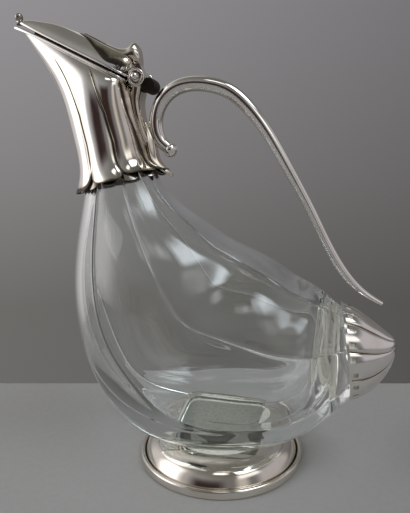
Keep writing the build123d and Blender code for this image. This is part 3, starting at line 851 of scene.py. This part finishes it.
# %% The finial
FINIAL_BACK, FINIAL_ABOVE, FINIAL_LEAN = 2.6, 0.8, (-1.2, 0, 4.6)
root = RIM_BACK + RIM_ALONG * (RIM_LENGTH - FINIAL_BACK) + RIM_UP * (LID_GAP + FINIAL_ABOVE)
FINIAL = [(ON_AXIS, 0), (2.3, 0), (1.9, 0.7), (1.5, 1.4), (1.4, 1.7)] + arc(0, 3.6, 2.3, -52, 89, 18)
finial = turned("bill_knob", FINIAL, (root[0], 0, root[1]), FINIAL_LEAN, 48)
place_on(finial, "lid", "dark_plate", "bill_finial")

# %% [markdown]
# ## The handle
# The handle is a cast bar bent like a swan's neck: it springs from the mount's back, turns over and runs down
# to a flat tip above the tail. Its oval section grows and shrinks on the way, so one spline carries the
# bar's middle and both half sizes together. A bevelled curve would give it the same section all along.

# %% The handle
HANDLE_ROWS, HANDLE_COLUMNS = 620, 44
HANDLE = np.array([  # x, z, half thickness, half width
    (-26.2, 176.2, 3, 3), (-31.4, 181.2, 3.5, 3.6), (-33.9, 189, 3.8, 3.9), (-32.9, 196.8, 3.9, 4.1),
    (-28.9, 203.8, 4, 4.3), (-21.6, 208.9, 4, 4.4), (-12, 210.5, 3.95, 4.5), (-2.2, 209.2, 4, 4.5),
    (6.8, 205.7, 4, 4.4), (15.2, 198.8, 3.8, 4.3), (24, 188.2, 3.5, 4.2), (32.3, 174.9, 3.2, 4),
    (41, 159.4, 2.95, 3.8), (50.2, 142.4, 2.65, 3.5), (58.8, 125, 2.55, 3.2), (68.6, 109, 2.4, 3),
    (77.4, 99.9, 1.9, 2.6), (88, 93.4, 1.1, 1.6),
])


def line_and_normals(table, steps, rows):
    """The spline through rows of (x, z, ...), and its normals in the plane of symmetry."""
    line = natural_spline(steps, table, np.linspace(0, steps[-1], rows))
    way = np.gradient(line[:, :2], axis=0)
    way /= np.linalg.norm(way, axis=1, keepdims=True)
    return line, np.column_stack([-way[:, 1], way[:, 0]])


def make_handle():
    steps = np.concatenate([[0], np.cumsum(np.hypot(np.diff(HANDLE[:, 0]), np.diff(HANDLE[:, 1])))])
    line, normal = line_and_normals(HANDLE, steps, HANDLE_ROWS)
    turn = full_turn(HANDLE_COLUMNS)
    c, s = np.cos(turn)[None, :], np.sin(turn)[None, :]
    x = line[:, :1] + normal[:, :1] * c * line[:, 2:3]
    z = line[:, 1:2] + normal[:, 1:2] * c * line[:, 2:3]
    y = s * line[:, 3:4]
    grid = np.stack([x, y, z], axis=-1)
    return closed("swan_handle", grid, sharp=CAST_SHARP)


place_on(make_handle(), "jug", "silver_plate", "handle_bar")

# %% [markdown]
# The handle is soldered to the back of the head over a long ribbed leaf, which hugs the mount and ends in a
# point over the ruff. A ball closes the scroll at the handle's root.

# %% The saddle leaf and the ball
SADDLE = [  # x, z on the mount's back, half width, how proud
    (-42.6, 197.0, 0.6, 0.4), (-40.6, 190.5, 2.6, 1.6), (-38.6, 184.0, 3.9, 3.0), (-37.2, 178.0, 4.6, 3.4),
    (-35.6, 172.5, 5.2, 2.8), (-32.8, 168.4, 5.0, 2.0), (-29.0, 165.2, 3.6, 1.5), (-25.2, 162.6, 0.8, 0.7),
]
SADDLE_ROWS, SADDLE_COLUMNS = 70, 64
SADDLE_RIBS, SADDLE_RIB_HEIGHT, SADDLE_SUNK, SADDLE_HUG = 6, 0.35, 1.2, 0.9 / 5
BALL_RADIUS = 3.7


def make_saddle():
    steps = np.arange(len(SADDLE), dtype=float)
    line, normal = line_and_normals(np.array(SADDLE), steps, SADDLE_ROWS)
    rows = []
    for (x, z, half, proud), (nx, nz) in zip(line, normal):
        row = []
        for a in full_turn(SADDLE_COLUMNS):
            c, s = math.cos(a), math.sin(a)
            rib = SADDLE_RIB_HEIGHT * math.cos(SADDLE_RIBS * a) * min(1, proud / 2) if 0 < a < math.pi else 0
            lift = s * proud + rib if s > 0 else s * SADDLE_SUNK
            sink = SADDLE_HUG * c**2 * half
            row.append((x + nx * (lift - sink), half * c, z + nz * (lift - sink)))
        rows.append(row)
    return closed("saddle_leaf", rows, np.full((SADDLE_ROWS, SADDLE_COLUMNS), WARM_BACK), CAST_SHARP)


place_on(make_saddle(), "jug", "silver_plate", "handle_saddle")
BALL = (
    [(ON_AXIS, -BALL_RADIUS)]
    + arc(0, 0, BALL_RADIUS, -86, -8, 12)
    + arc(3.55, 0, 0.35, -60, 60, 5)
    + arc(0, 0, BALL_RADIUS, 8, 86, 12)
    + [(ON_AXIS, BALL_RADIUS)]
)
ball = turned("handle_ball_turned", BALL, (HANDLE[0, 0], 0, HANDLE[0, 1]), ACROSS, 64)
place_on(ball, "jug", "silver_plate", "handle_ball")

# %% [markdown]
# ## The tail cap
# The cap on the other end of the glass is sheet too, with ten flutes that run together in a blunt point. It
# is one more lobed skin. A row of small square slots shows dark just behind its mouth. A boolean cuts them
# into the wall, and the points that it leaves at the slots' corners are marked as hollow, so that the finish
# paints them dark as the shade inside the slots.

# %% The tail cap's skin
TAIL = [
    station((73.3, 40.4), (68.2, 92.4), 26.6),
    station((78.6, 42.4), (75.2, 89.6), 24.0),
    station((84.0, 46.2), (81.6, 85.2), 19.9),
    station((89.2, 51.8), (87.6, 80.6), 14.6),
    station((93.4, 58.6), (92.4, 76.8), 9.2),
    station((95.9, 66.2), (95.3, 74.0), 3.9),
    station((96.5, 69.6), (96.4, 71.4), 0.9),
]
TAIL_LOBES, TAIL_PER_LOBE, TAIL_ROWS, TAIL_WALL, TAIL_CRISP = 10, 18, 70, 1.1, 0.5
TAIL_TIP = 0.3  # near the point the cap is at least this wide, and its wall this share of the width


def tail_skin(wall):
    rows = stations_at(TAIL, np.linspace(0, 1, TAIL_ROWS))
    wide = np.maximum(rows[:, WIDE], TAIL_TIP)
    if wall:
        rows = thinner(rows, np.minimum(wall, wide * TAIL_TIP))
    lobe, place = lobe_columns(TAIL_LOBES, TAIL_PER_LOBE)
    angle = column_angles(even_lobes(TAIL_LOBES, 0.5)[None, :], lobe, place)
    depth = (wide / TAIL[0][WIDE])[:, None]
    sunk = depth * (groove_depth(place) + TAIL_CRISP * groove_depth(place, roundness=16))[None, :]
    hollow_and_shade = groove_depth(place, roundness=14)[None, :] + np.zeros_like(sunk)
    return ring_points(rows[:, None, :], angle, sunk), hollow_and_shade


def make_tail():
    outer, hollow_and_shade = tail_skin(0)
    inner, _ = tail_skin(TAIL_WALL)
    grid = np.concatenate([outer[::-1], inner])
    return closed("tail_cap_fluted", grid, np.concatenate([hollow_and_shade[::-1], hollow_and_shade * 0]), PLATE_SHARP)


tail = make_tail()
print("tail cap", len(tail.data.vertices), "points before it is cut")

# %% The tail cap's slots
SLOTS, SLOT_PLACE, SLOT_LENGTH, SLOT_WIDTH, SLOT_DEPTH, SLOT_OUT = 20, 0.065, 3.0, 2.4, 0.8, 1.5
STEP_ON, STEP_ROUND = 0.02, 0.01  # small steps along and round the cap that give a slot its directions
SAME_POINT = 0.05  # mm
# The faces of a block of eight points.
BLOCK = ((0, 1, 2, 3), (4, 7, 6, 5), (0, 4, 5, 1), (1, 5, 6, 2), (2, 6, 7, 3), (3, 7, 4, 0))


def slot_cutters():
    """One mesh of small square blocks that reach into the cap's wall."""
    row = stations_at(TAIL, [SLOT_PLACE, SLOT_PLACE + STEP_ON])
    points, faces = [], []
    for angle in full_turn(SLOTS) + math.pi / SLOTS:
        here, on = ring_points(row, angle)
        beside = ring_points(row, angle + STEP_ROUND)[0]
        along, across = on - here, beside - here
        along, across = along / np.linalg.norm(along), across / np.linalg.norm(across)
        out = np.cross(across, along)
        start = len(points)
        for o in (-SLOT_DEPTH, SLOT_OUT):
            for a, c in ((-1, -1), (1, -1), (1, 1), (-1, 1)):
                points.append(here + out * o + along * a * SLOT_LENGTH / 2 + across * c * SLOT_WIDTH / 2)
        faces += [tuple(start + v for v in face) for face in BLOCK]
    return new_piece("slot_cutters", points, faces, [1] * len(points))


cutters = slot_cutters()
corners = np.array([vertex.co for vertex in cutters.data.vertices]) / MM
boolean(tail, cutters, "DIFFERENCE")
# painted shade: the slots' corner points are darkened as the shade inside the slots
for vertex, hollow_and_shade in zip(tail.data.vertices, tail.data.attributes["hollow_and_shade"].data):
    if np.linalg.norm(corners - np.array(vertex.co) / MM, axis=1).min() < SAME_POINT:
        hollow_and_shade.value = 1.0
place_on(tail, "jug", "silver_plate", "tail_cap")

# %% [markdown]
# ## The foot
# The foot is spun from sheet: a dome that rises to the glass, set in a rolled band that stands on the table.
# The plaster and the baize under it stay as the CAD made them, with a finish of their own. The foot is
# handled little, so it keeps a thin warm film, which comes from counting it as slightly hollow.

# %% The foot
FOOT_RADIUS, FOOT_INNER, FOOT_COLUMNS, WARM_FOOT = 47.5, 44.9, 192, 0.24
BAND = (
    [(FOOT_INNER, 0.4), (FOOT_INNER + 0.4, 0.0), (FOOT_RADIUS - 0.7, 0.0)]
    + arc(FOOT_RADIUS - 0.8, 0.8, 0.8, -80, 0, 6)
    + [(FOOT_RADIUS - 0.05, 2.2)]
    + arc(FOOT_RADIUS - 1.3, 3.6, 1.3, 0, 180, 16)
    + [(FOOT_INNER, 3.0)]
)
# How far up the dome, radius, height, and whether the inside lies in from it and below it.
FOOT_DOME = np.array([(0, 44.2, 4.3, 1, 0), (5.8, 41.0, 9.6, 1, 1), (20.0, 28.0, 13.4, 0, 1)])
FOOT_DOME_BOTTOM, FOOT_DOME_ROWS = 1.6, 40


def dome_profile(wall):
    """The foot's dome from the groove inside the band up to the lip under the glass."""
    points = FOOT_DOME[:, 1:3] - FOOT_DOME[:, 3:] * wall
    line = natural_spline(FOOT_DOME[:, 0], points, np.linspace(0, FOOT_DOME[-1, 0], FOOT_DOME_ROWS))
    return [(points[0, 0], FOOT_DOME_BOTTOM), *line.tolist()]


for name, profile, node in (
    ("foot_edge", BAND, "foot_band"),
    ("foot_dome_spun", dome_profile(0) + dome_profile(PLATE)[::-1], "foot_dome"),
):
    ring = turned(name, profile, (0, 0, 0), UPRIGHT, FOOT_COLUMNS, PLATE_SHARP, WARM_FOOT)
    place_on(ring, "jug", "silver_plate", node)

# %% [markdown]
# ## Finishes
# Both kinds of plate need the same few effects, with their own numbers, so these are node groups, built once.
# A group only gives masks and heights, and the material decides what they do. All noise is read in the
# piece's own space, in steps per metre, so a mark is as large on a small piece as on a large one.

# %% Node helpers
def new_group(name, inputs, outputs):
    """A shader node group with float sockets: inputs are (name, value) pairs and outputs are names."""
    group = bpy.data.node_groups.new(name, "ShaderNodeTree")
    for socket, value in inputs:
        made = group.interface.new_socket(socket, in_out="INPUT", socket_type="NodeSocketFloat")
        made.default_value = value
    for socket in outputs:
        group.interface.new_socket(socket, in_out="OUTPUT", socket_type="NodeSocketFloat")
    return group, group.nodes.new("NodeGroupInput"), group.nodes.new("NodeGroupOutput")


def join(tree, source, target):
    tree.links.new(source, target)


def sums(tree, operation, first, second):
    """A math node. Each side is a socket or a number."""
    node = tree.nodes.new("ShaderNodeMath")
    node.operation = operation
    for socket, value in zip(node.inputs, (first, second)):
        if isinstance(value, (int, float)):
            socket.default_value = value
        else:
            join(tree, value, socket)
    return node.outputs[0]


def spread(tree, value, low, high, to_low=0.0, to_high=1.0):
    """Carries a value from one span to another, and stops at its ends."""
    node = tree.nodes.new("ShaderNodeMapRange")
    for name, number in (("From Min", low), ("From Max", high), ("To Min", to_low), ("To Max", to_high)):
        node.inputs[name].default_value = number
    join(tree, value, node.inputs["Value"])
    return node.outputs[0]


def noise(tree, scale, detail=3.0, stretch=(1, 1, 1)):
    """Noise in the piece's own space. scale is a number or a socket, in steps per metre."""
    place, mapping, texture = (tree.nodes.new(kind) for kind in (
        "ShaderNodeTexCoord", "ShaderNodeMapping", "ShaderNodeTexNoise"
    ))
    mapping.inputs["Scale"].default_value = stretch
    join(tree, place.outputs["Object"], mapping.inputs["Vector"])
    join(tree, mapping.outputs[0], texture.inputs["Vector"])
    texture.inputs["Detail"].default_value = detail
    if isinstance(scale, (int, float)):
        texture.inputs["Scale"].default_value = scale
    else:
        join(tree, scale, texture.inputs["Scale"])
    return texture.outputs["Fac"]


# %% [markdown]
# Silver goes brown where a cloth can't reach. The meshes carry how hollow they are at each point, so the
# tarnish group reads that number and lets slow noise move its edge about, so that no two grooves look alike.
# Its Mask is the dark tarnish, and also painted shade where the meshes set that number for shade. Its Film is
# the thin warm one that comes first, in patches anywhere and wherever the metal counts as even a little
# hollow.

# %% Tarnish in the hollows
PATCH_SPAN, PATCH_FILM, HOLLOW_FILM = (0.46, 0.72), 0.35, 3.4


def make_tarnish_and_shade_group():
    group, given, made = new_group(
        "tarnish_and_painted_shade", [("Reach", 0.5), ("Softness", 0.5), ("Patch Scale", 60.0)], ["Mask", "Film"]
    )
    hollow_and_shade = group.nodes.new("ShaderNodeAttribute")
    hollow_and_shade.attribute_name = "hollow_and_shade"
    drift = noise(group, given.outputs["Patch Scale"], 4)
    moved = sums(group, "ADD", hollow_and_shade.outputs["Fac"], sums(group, "SUBTRACT", drift, 0.5))
    past = sums(group, "SUBTRACT", moved, sums(group, "SUBTRACT", 1.0, given.outputs["Reach"]))
    share = sums(group, "DIVIDE", past, given.outputs["Softness"])
    join(group, spread(group, share, 0, 1), made.inputs["Mask"])
    patches = sums(group, "MULTIPLY", spread(group, drift, *PATCH_SPAN), PATCH_FILM)
    warm = sums(group, "MULTIPLY", sums(group, "MULTIPLY", hollow_and_shade.outputs["Fac"], drift), HOLLOW_FILM)
    join(group, spread(group, sums(group, "MAXIMUM", patches, warm), 0, 1), made.inputs["Film"])
    return group


LINE_STRETCH = (1, 1, 0.08)  # cloth lines run up and down


def make_marks_group():
    """Fine lines from a polishing cloth, and the slow waves of hand-raised metal."""
    sizes = [("Scale", 900.0), ("Wave Scale", 55.0)]
    group, given, made = new_group("cloth_marks", sizes, ["Lines", "Waves"])
    join(group, noise(group, given.outputs["Scale"], 2, LINE_STRETCH), made.inputs["Lines"])
    join(group, noise(group, given.outputs["Wave Scale"], 1), made.inputs["Waves"])
    return group


TARNISH_AND_SHADE, MARKS = make_tarnish_and_shade_group(), make_marks_group()
print("groups", TARNISH_AND_SHADE.name, MARKS.name)

# %% [markdown]
# Silver plate is metal with a colour of its own, so its shader is Metallic and the room does the rest. The
# mount is polished and mirrors clearly, with brown only in its hollows. The ruff, the finial, the barrel and
# the lid's flange take the same plate darker, duller and with deeper waves: on the finial that is unrubbed
# plate, and on the ruff, the barrel and the flange it is painted shade.

# %% Plate
PATCHES_PER_METRE, LINE_SPAN, LINE_DULLS, LINE_HEIGHT = 70.0, (0.4, 0.7), 0.05, 0.02


def new_material(name):
    material = bpy.data.materials.new(name)
    material.use_nodes = True
    return material, material.node_tree, material.node_tree.nodes["Principled BSDF"]


def placed(tree, group, **values):
    """The group's node in a material, with its own values."""
    node = tree.nodes.new("ShaderNodeGroup")
    node.node_tree = group
    for name, value in values.items():
        node.inputs[name.replace("_", " ")].default_value = value
    return node


def mixed(tree, share, first, second):
    """A colour mix. Each side is a colour or a socket."""
    node = tree.nodes.new("ShaderNodeMix")
    node.data_type = "RGBA"
    join(tree, share, node.inputs["Factor"])
    for socket, value in zip((node.inputs[6], node.inputs[7]), (first, second)):
        if isinstance(value, tuple):
            socket.default_value = (*value, 1)
        else:
            join(tree, value, socket)
    return node.outputs[2]


def bumped(tree, shader, height, distance):
    """Gives the shader a relief whose height of 1 is distance in metres."""
    bump = tree.nodes.new("ShaderNodeBump")
    bump.inputs["Distance"].default_value = distance
    bump.inputs["Strength"].default_value = 1.0
    join(tree, height, bump.inputs["Height"])
    join(tree, bump.outputs[0], shader.inputs["Normal"])


def make_plate(name, bright, film, dark, reach, softness, smooth, rough, wave):
    """Silver plate: bright metal, a thin warm film in patches, and dark tarnish and painted shade in the
    hollows.
    """
    material, tree, shader = new_material(name)
    shader.inputs["Metallic"].default_value = 1.0
    tarnish_shade = placed(tree, TARNISH_AND_SHADE, Reach=reach, Softness=softness, Patch_Scale=PATCHES_PER_METRE)
    marks = placed(tree, MARKS)
    skin = mixed(tree, tarnish_shade.outputs["Film"], bright, film)
    join(tree, mixed(tree, tarnish_shade.outputs["Mask"], skin, dark), shader.inputs["Base Color"])
    worn = spread(tree, tarnish_shade.outputs["Mask"], 0, 1, smooth, rough)
    lined = sums(tree, "MULTIPLY", spread(tree, marks.outputs["Lines"], *LINE_SPAN), LINE_DULLS)
    join(tree, sums(tree, "ADD", worn, lined), shader.inputs["Roughness"])
    lines = sums(tree, "MULTIPLY", marks.outputs["Lines"], LINE_HEIGHT)
    bumped(tree, shader, sums(tree, "ADD", marks.outputs["Waves"], lines), wave)
    return material


polished = make_plate(
    "polished_plate", bright=(0.93, 0.9, 0.87), film=(0.7, 0.615, 0.48), dark=(0.07, 0.06, 0.05),
    reach=0.55, softness=0.35, smooth=0.07, rough=0.35, wave=0.00012,
)
# darker plate: unrubbed on the finial, painted shade on the ruff, the barrel and the lid's flange
unrubbed_and_shade = make_plate(
    "unrubbed_plate_and_shade", bright=(0.42, 0.38, 0.34), film=(0.3, 0.25, 0.2), dark=(0.05, 0.04, 0.035),
    reach=0.7, softness=0.6, smooth=0.2, rough=0.5, wave=0.0002,
)
print("plate", polished.name, unrubbed_and_shade.name)

# %% [markdown]
# Clear glass is all surface: its shader stays plain and the mesh does the work. Cycles would cast a dark
# shadow through it, because a path can't find a lamp through two bends, so the lamps see it as clear, which
# is a Transparent shader for shadow rays alone. Thick glass also mirrors a path inside itself again and
# again, and Cycles gives up after four mirrorings and shows black, so a path that late goes straight out to
# the room. Faint smears change the gloss, and a slow wave in the surface is what blowing leaves.

# %% Glass
GLASS_IOR, GLASS_TINT, LATE_TINT = 1.5, (0.985, 1.0, 0.995, 1), (0.93, 0.95, 0.94, 1)
LAST_MIRROR = 3.5  # a path that has been mirrored more often than this counts as late
SMEARS_PER_METRE, SMEAR_SPAN, SMEAR_DULLS = 45, (0.5, 0.75), 0.02
WAVES_PER_METRE, GLASS_WAVE = 38, 0.00006


def make_glass_finish():
    material, tree, shader = new_material("blown_glass")
    shader.inputs["Metallic"].default_value = 0.0
    shader.inputs["Transmission Weight"].default_value = 1.0
    shader.inputs["IOR"].default_value = GLASS_IOR
    shader.inputs["Base Color"].default_value = GLASS_TINT
    smear = noise(tree, SMEARS_PER_METRE, 4)
    join(tree, spread(tree, smear, *SMEAR_SPAN, 0.0, SMEAR_DULLS), shader.inputs["Roughness"])
    bumped(tree, shader, noise(tree, WAVES_PER_METRE, 1), GLASS_WAVE)
    clear, way, blend = (tree.nodes.new(kind) for kind in (
        "ShaderNodeBsdfTransparent", "ShaderNodeLightPath", "ShaderNodeMixShader"
    ))
    late = sums(tree, "GREATER_THAN", way.outputs["Glossy Depth"], LAST_MIRROR)
    clear.inputs["Color"].default_value = LATE_TINT
    join(tree, sums(tree, "MAXIMUM", way.outputs["Is Shadow Ray"], late), blend.inputs[0])
    join(tree, shader.outputs[0], blend.inputs[1])
    join(tree, clear.outputs[0], blend.inputs[2])
    join(tree, blend.outputs[0], tree.nodes["Material Output"].inputs["Surface"])
    return material


blown_glass = make_glass_finish()
print("glass", blown_glass.name, "bends light by", GLASS_IOR)

# %% [markdown]
# Plaster holds the mounts on the glass and shows a little through it, and baize closes the foot underneath.
# Both are dull and their grain is much the same thing at different sizes, so one function makes both. Then
# each piece, and each CAD node that no piece stands for, takes the finish of its slot.

# %% Plaster and baize
GRAIN_SPAN, GLOSS_SPAN, GLOSS_CHANGE = (0.35, 0.68), (0.3, 0.7), 0.08


def make_grain_finish(name, light, shade, scale, roughness, depth):
    """A dull finish whose grain shows in colour, gloss and relief."""
    material, tree, shader = new_material(name)
    grain = noise(tree, scale, 6)
    join(tree, mixed(tree, spread(tree, grain, *GRAIN_SPAN), light, shade), shader.inputs["Base Color"])
    gloss = spread(tree, grain, *GLOSS_SPAN, roughness - GLOSS_CHANGE, roughness)
    join(tree, gloss, shader.inputs["Roughness"])
    bumped(tree, shader, grain, depth)
    return material


plaster = make_grain_finish(
    "set_plaster", light=(0.78, 0.76, 0.7), shade=(0.62, 0.59, 0.53), scale=500, roughness=0.9, depth=0.0002
)
baize = make_grain_finish(
    "green_baize", light=(0.03, 0.1, 0.05), shade=(0.015, 0.05, 0.025), scale=1800, roughness=0.98,
    depth=0.0003,
)
print("dull finishes", plaster.name, baize.name)

# %% Finishes to slots
FINISHES = {
    "clear_glass": blown_glass,
    "silver_plate": polished,
    "dark_plate": unrubbed_and_shade,
    "plaster": plaster,
    "baize": baize,
}
NODE_SLOTS = {row["node"]: row["material_slot"] for row in frame["record"]["subparts"]}
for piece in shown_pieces():
    slot = piece.get("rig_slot") or NODE_SLOTS[piece["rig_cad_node"]]
    piece.data.materials.clear()
    piece.data.materials.append(FINISHES[slot])
print("finishes", sorted(FINISHES))

# %% [markdown]
# ## The studio
# Plate and glass show the room more than themselves, so the room is drawn with care: a pale table, a grey
# backdrop, soft windows and walls around, and one lamp. The table is a flat sheet with a rounded back edge,
# smooth enough to show as one even tone.

# %% The table
bpy.context.scene.view_settings.view_transform = "Standard"
TABLE_BACK, TABLE_REACH, TABLE_THICKNESS, TABLE_ROUND, TABLE_STEPS = 0.103, 3.0, 0.03, 0.012, 12
TABLE_LIGHT, TABLE_SHADE = (0.345, 0.338, 0.33), (0.335, 0.328, 0.32)
TABLE_GRAIN, TABLE_GLOSS, TABLE_RELIEF = 300, 0.62, 0.00002
TABLE_TURN = math.radians(9.17)  # the table's back edge isn't quite square to the jug


def make_table():
    """A flat top with a rounded back edge."""
    edge = [(-TABLE_REACH, 0.0)]
    for a in np.linspace(0, math.pi / 2, TABLE_STEPS):
        out, drop = TABLE_ROUND * math.sin(a), TABLE_ROUND * (1 - math.cos(a))
        edge.append((TABLE_BACK - TABLE_ROUND + out, -drop))
    edge.append((TABLE_BACK, -TABLE_THICKNESS))
    points = [(x, y, z) for y, z in edge for x in (-TABLE_REACH, TABLE_REACH)]
    faces = [(2 * k, 2 * k + 1, 2 * k + 3, 2 * k + 2) for k in range(len(edge) - 1)]
    mesh = bpy.data.meshes.new("table")
    mesh.from_pydata(points, [], faces)
    for face in mesh.polygons:
        face.use_smooth = True
    table = bpy.data.objects.new("table", mesh)
    bpy.context.scene.collection.objects.link(table)
    table.rotation_euler.z = TABLE_TURN
    paint = make_grain_finish("table_paint", TABLE_LIGHT, TABLE_SHADE, TABLE_GRAIN, TABLE_GLOSS, TABLE_RELIEF)
    mesh.materials.append(paint)
    return table


print("table", len(make_table().data.polygons), "faces")

# %% [markdown]
# The world gives the room by direction alone, so it is the same in every view. Its tone goes by height and
# falls off to the right. On top of that lie soft-edged panels: windows, walls and a dark one where whoever
# looks at the jug stands. They are what metal and glass mirror, and are hidden from the camera's own rays, so
# the backdrop stays plain. A panel is a mask by angle, so one group serves them all.

# %% The backdrop
SIDE_FALL = (-0.54, 0.19, 1.0, 0.62)  # from and to this far right, the room's tone falls from 1 to 0.62
ROOM_BY_HEIGHT = [  # height of the direction, tone
    (-1.0, (0.16, 0.155, 0.148)),
    (-0.38, (0.15, 0.145, 0.138)),
    (-0.25, (0.152, 0.146, 0.138)),
    (-0.02, (0.226, 0.218, 0.216)),
    (0.29, (0.298, 0.288, 0.298)),
    (0.6, (0.3, 0.3, 0.3)),
    (0.9, (0.21, 0.21, 0.19)),
    (1.0, (0.19, 0.19, 0.17)),
]


def make_panel_group():
    """How much of a soft-edged panel is seen in a direction. All angles are in degrees."""
    group, given, made = new_group(
        "soft_panel",
        [("Azimuth", 0.0), ("Elevation", 0.0), ("Centre Azimuth", 0.0), ("Centre Elevation", 0.0),
         ("Half Width", 10.0), ("Half Height", 10.0), ("Softness", 10.0)],
        ["Mask"],
    )
    masks = []
    for angle, centre, half in (
        ("Azimuth", "Centre Azimuth", "Half Width"), ("Elevation", "Centre Elevation", "Half Height")
    ):
        away = sums(group, "SUBTRACT", given.outputs[angle], given.outputs[centre])
        past = sums(group, "SUBTRACT", sums(group, "ABSOLUTE", away, 0.0), given.outputs[half])
        share = sums(group, "DIVIDE", past, given.outputs["Softness"])
        fall = group.nodes.new("ShaderNodeMapRange")
        fall.interpolation_type = "SMOOTHSTEP"
        for name, value in (("From Min", -0.5), ("From Max", 0.5), ("To Min", 1.0), ("To Max", 0.0)):
            fall.inputs[name].default_value = value
        join(group, share, fall.inputs["Value"])
        masks.append(fall.outputs[0])
    join(group, sums(group, "MULTIPLY", *masks), made.inputs["Mask"])
    return group


SOFT_PANELS = [  # azimuth, elevation, half width, half height, softness, brightness
    ("left wall", -84, 12, 38, 34, 30, (0.62, 0.6, 0.6)),
    ("left window", -72, 22, 16, 20, 22, (2.2, 2.16, 2.16)),
    ("left ceiling", -125, 48, 45, 8, 16, (0.6, 0.59, 0.59)),
    ("dark viewer", -10, 2, 22, 24, 18, (0.035, 0.022, 0.02)),
    ("pale door", 40, 10, 8, 22, 12, (0.55, 0.53, 0.5)),
    ("right wall", 95, 20, 30, 18, 16, (0.46, 0.44, 0.46)),
    ("right window", 70, 61, 27, 10, 12, (4.8, 5.2, 5.5)),
    ("white blind", 54, 36, 18, 7, 9, (1.2, 1.2, 1.18)),
    ("front light", 8, 62, 15, 5, 9, (2.0, 2.0, 1.98)),
]
PANEL, DEGREE = make_panel_group(), 180 / math.pi
PANEL_INPUTS = ("Centre Azimuth", "Centre Elevation", "Half Width", "Half Height", "Softness")


def make_world():
    world = bpy.data.worlds.new("studio")
    bpy.context.scene.world = world
    world.use_nodes = True
    tree = world.node_tree
    place, split = tree.nodes.new("ShaderNodeTexCoord"), tree.nodes.new("ShaderNodeSeparateXYZ")
    join(tree, place.outputs["Generated"], split.inputs[0])
    x, y, z = split.outputs
    ramp = tree.nodes.new("ShaderNodeValToRGB")
    join(tree, spread(tree, z, -1, 1), ramp.inputs[0])
    stops = ramp.color_ramp.elements
    while len(stops) < len(ROOM_BY_HEIGHT):
        stops.new(0.5)
    for stop, (height, colour) in zip(stops, ROOM_BY_HEIGHT):
        stop.position = (height + 1) / 2
        stop.color = (*colour, 1)
    ahead = sums(tree, "MULTIPLY", y, -1.0)
    azimuth = sums(tree, "MULTIPLY", sums(tree, "ARCTAN2", x, ahead), DEGREE)
    elevation = sums(tree, "MULTIPLY", sums(tree, "ARCSINE", z, 0.0), DEGREE)
    side = spread(tree, x, *SIDE_FALL)
    grey = tree.nodes.new("ShaderNodeVectorMath")
    grey.operation = "SCALE"
    join(tree, ramp.outputs[0], grey.inputs[0])
    join(tree, side, grey.inputs["Scale"])
    seen = grey.outputs[0]
    way = tree.nodes.new("ShaderNodeLightPath")
    unseen = sums(tree, "SUBTRACT", 1.0, way.outputs["Is Camera Ray"])
    for _, *numbers, colour in SOFT_PANELS:
        panel = placed(tree, PANEL)
        join(tree, azimuth, panel.inputs["Azimuth"])
        join(tree, elevation, panel.inputs["Elevation"])
        for name, value in zip(PANEL_INPUTS, numbers):
            panel.inputs[name].default_value = value
        seen = mixed(tree, sums(tree, "MULTIPLY", panel.outputs[0], unseen), seen, colour)
    join(tree, seen, tree.nodes["Background"].inputs["Color"])
    return world


print(make_world().name, "has", len(SOFT_PANELS), "soft panels")

# %% [markdown]
# The panels are broad and soft, so by themselves they cast hardly any shadow. One square lamp from the upper
# left gives the jug its shadow on the table. The plate doesn't mirror it, because it mirrors the windows.

# %% The lamp
AIM = Vector((0.0, 0.0, 0.11))


def lamp(name, azimuth, elevation, distance, width, height, radiance):
    """An area lamp seen from the jug at an azimuth (0 in front, 90 towards the tail) and an elevation."""
    a, e = math.radians(azimuth), math.radians(elevation)
    way = Vector((math.sin(a) * math.cos(e), -math.cos(a) * math.cos(e), math.sin(e)))
    data = bpy.data.lights.new(name, "AREA")
    data.shape, data.size, data.size_y = "RECTANGLE", width, height
    data.energy = radiance * math.pi * width * height
    light = bpy.data.objects.new(name, data)
    bpy.context.scene.collection.objects.link(light)
    turn = (-way).to_track_quat("-Z", "Y").to_matrix().to_4x4()
    light.matrix_world = Matrix.Translation(AIM + way * distance) @ turn
    print(name, round(data.energy, 2), "W")
    return light


left_lamp = lamp("left_lamp", -70, 48, distance=1.1, width=0.7, height=0.7, radiance=1.45)
left_lamp.visible_glossy = False
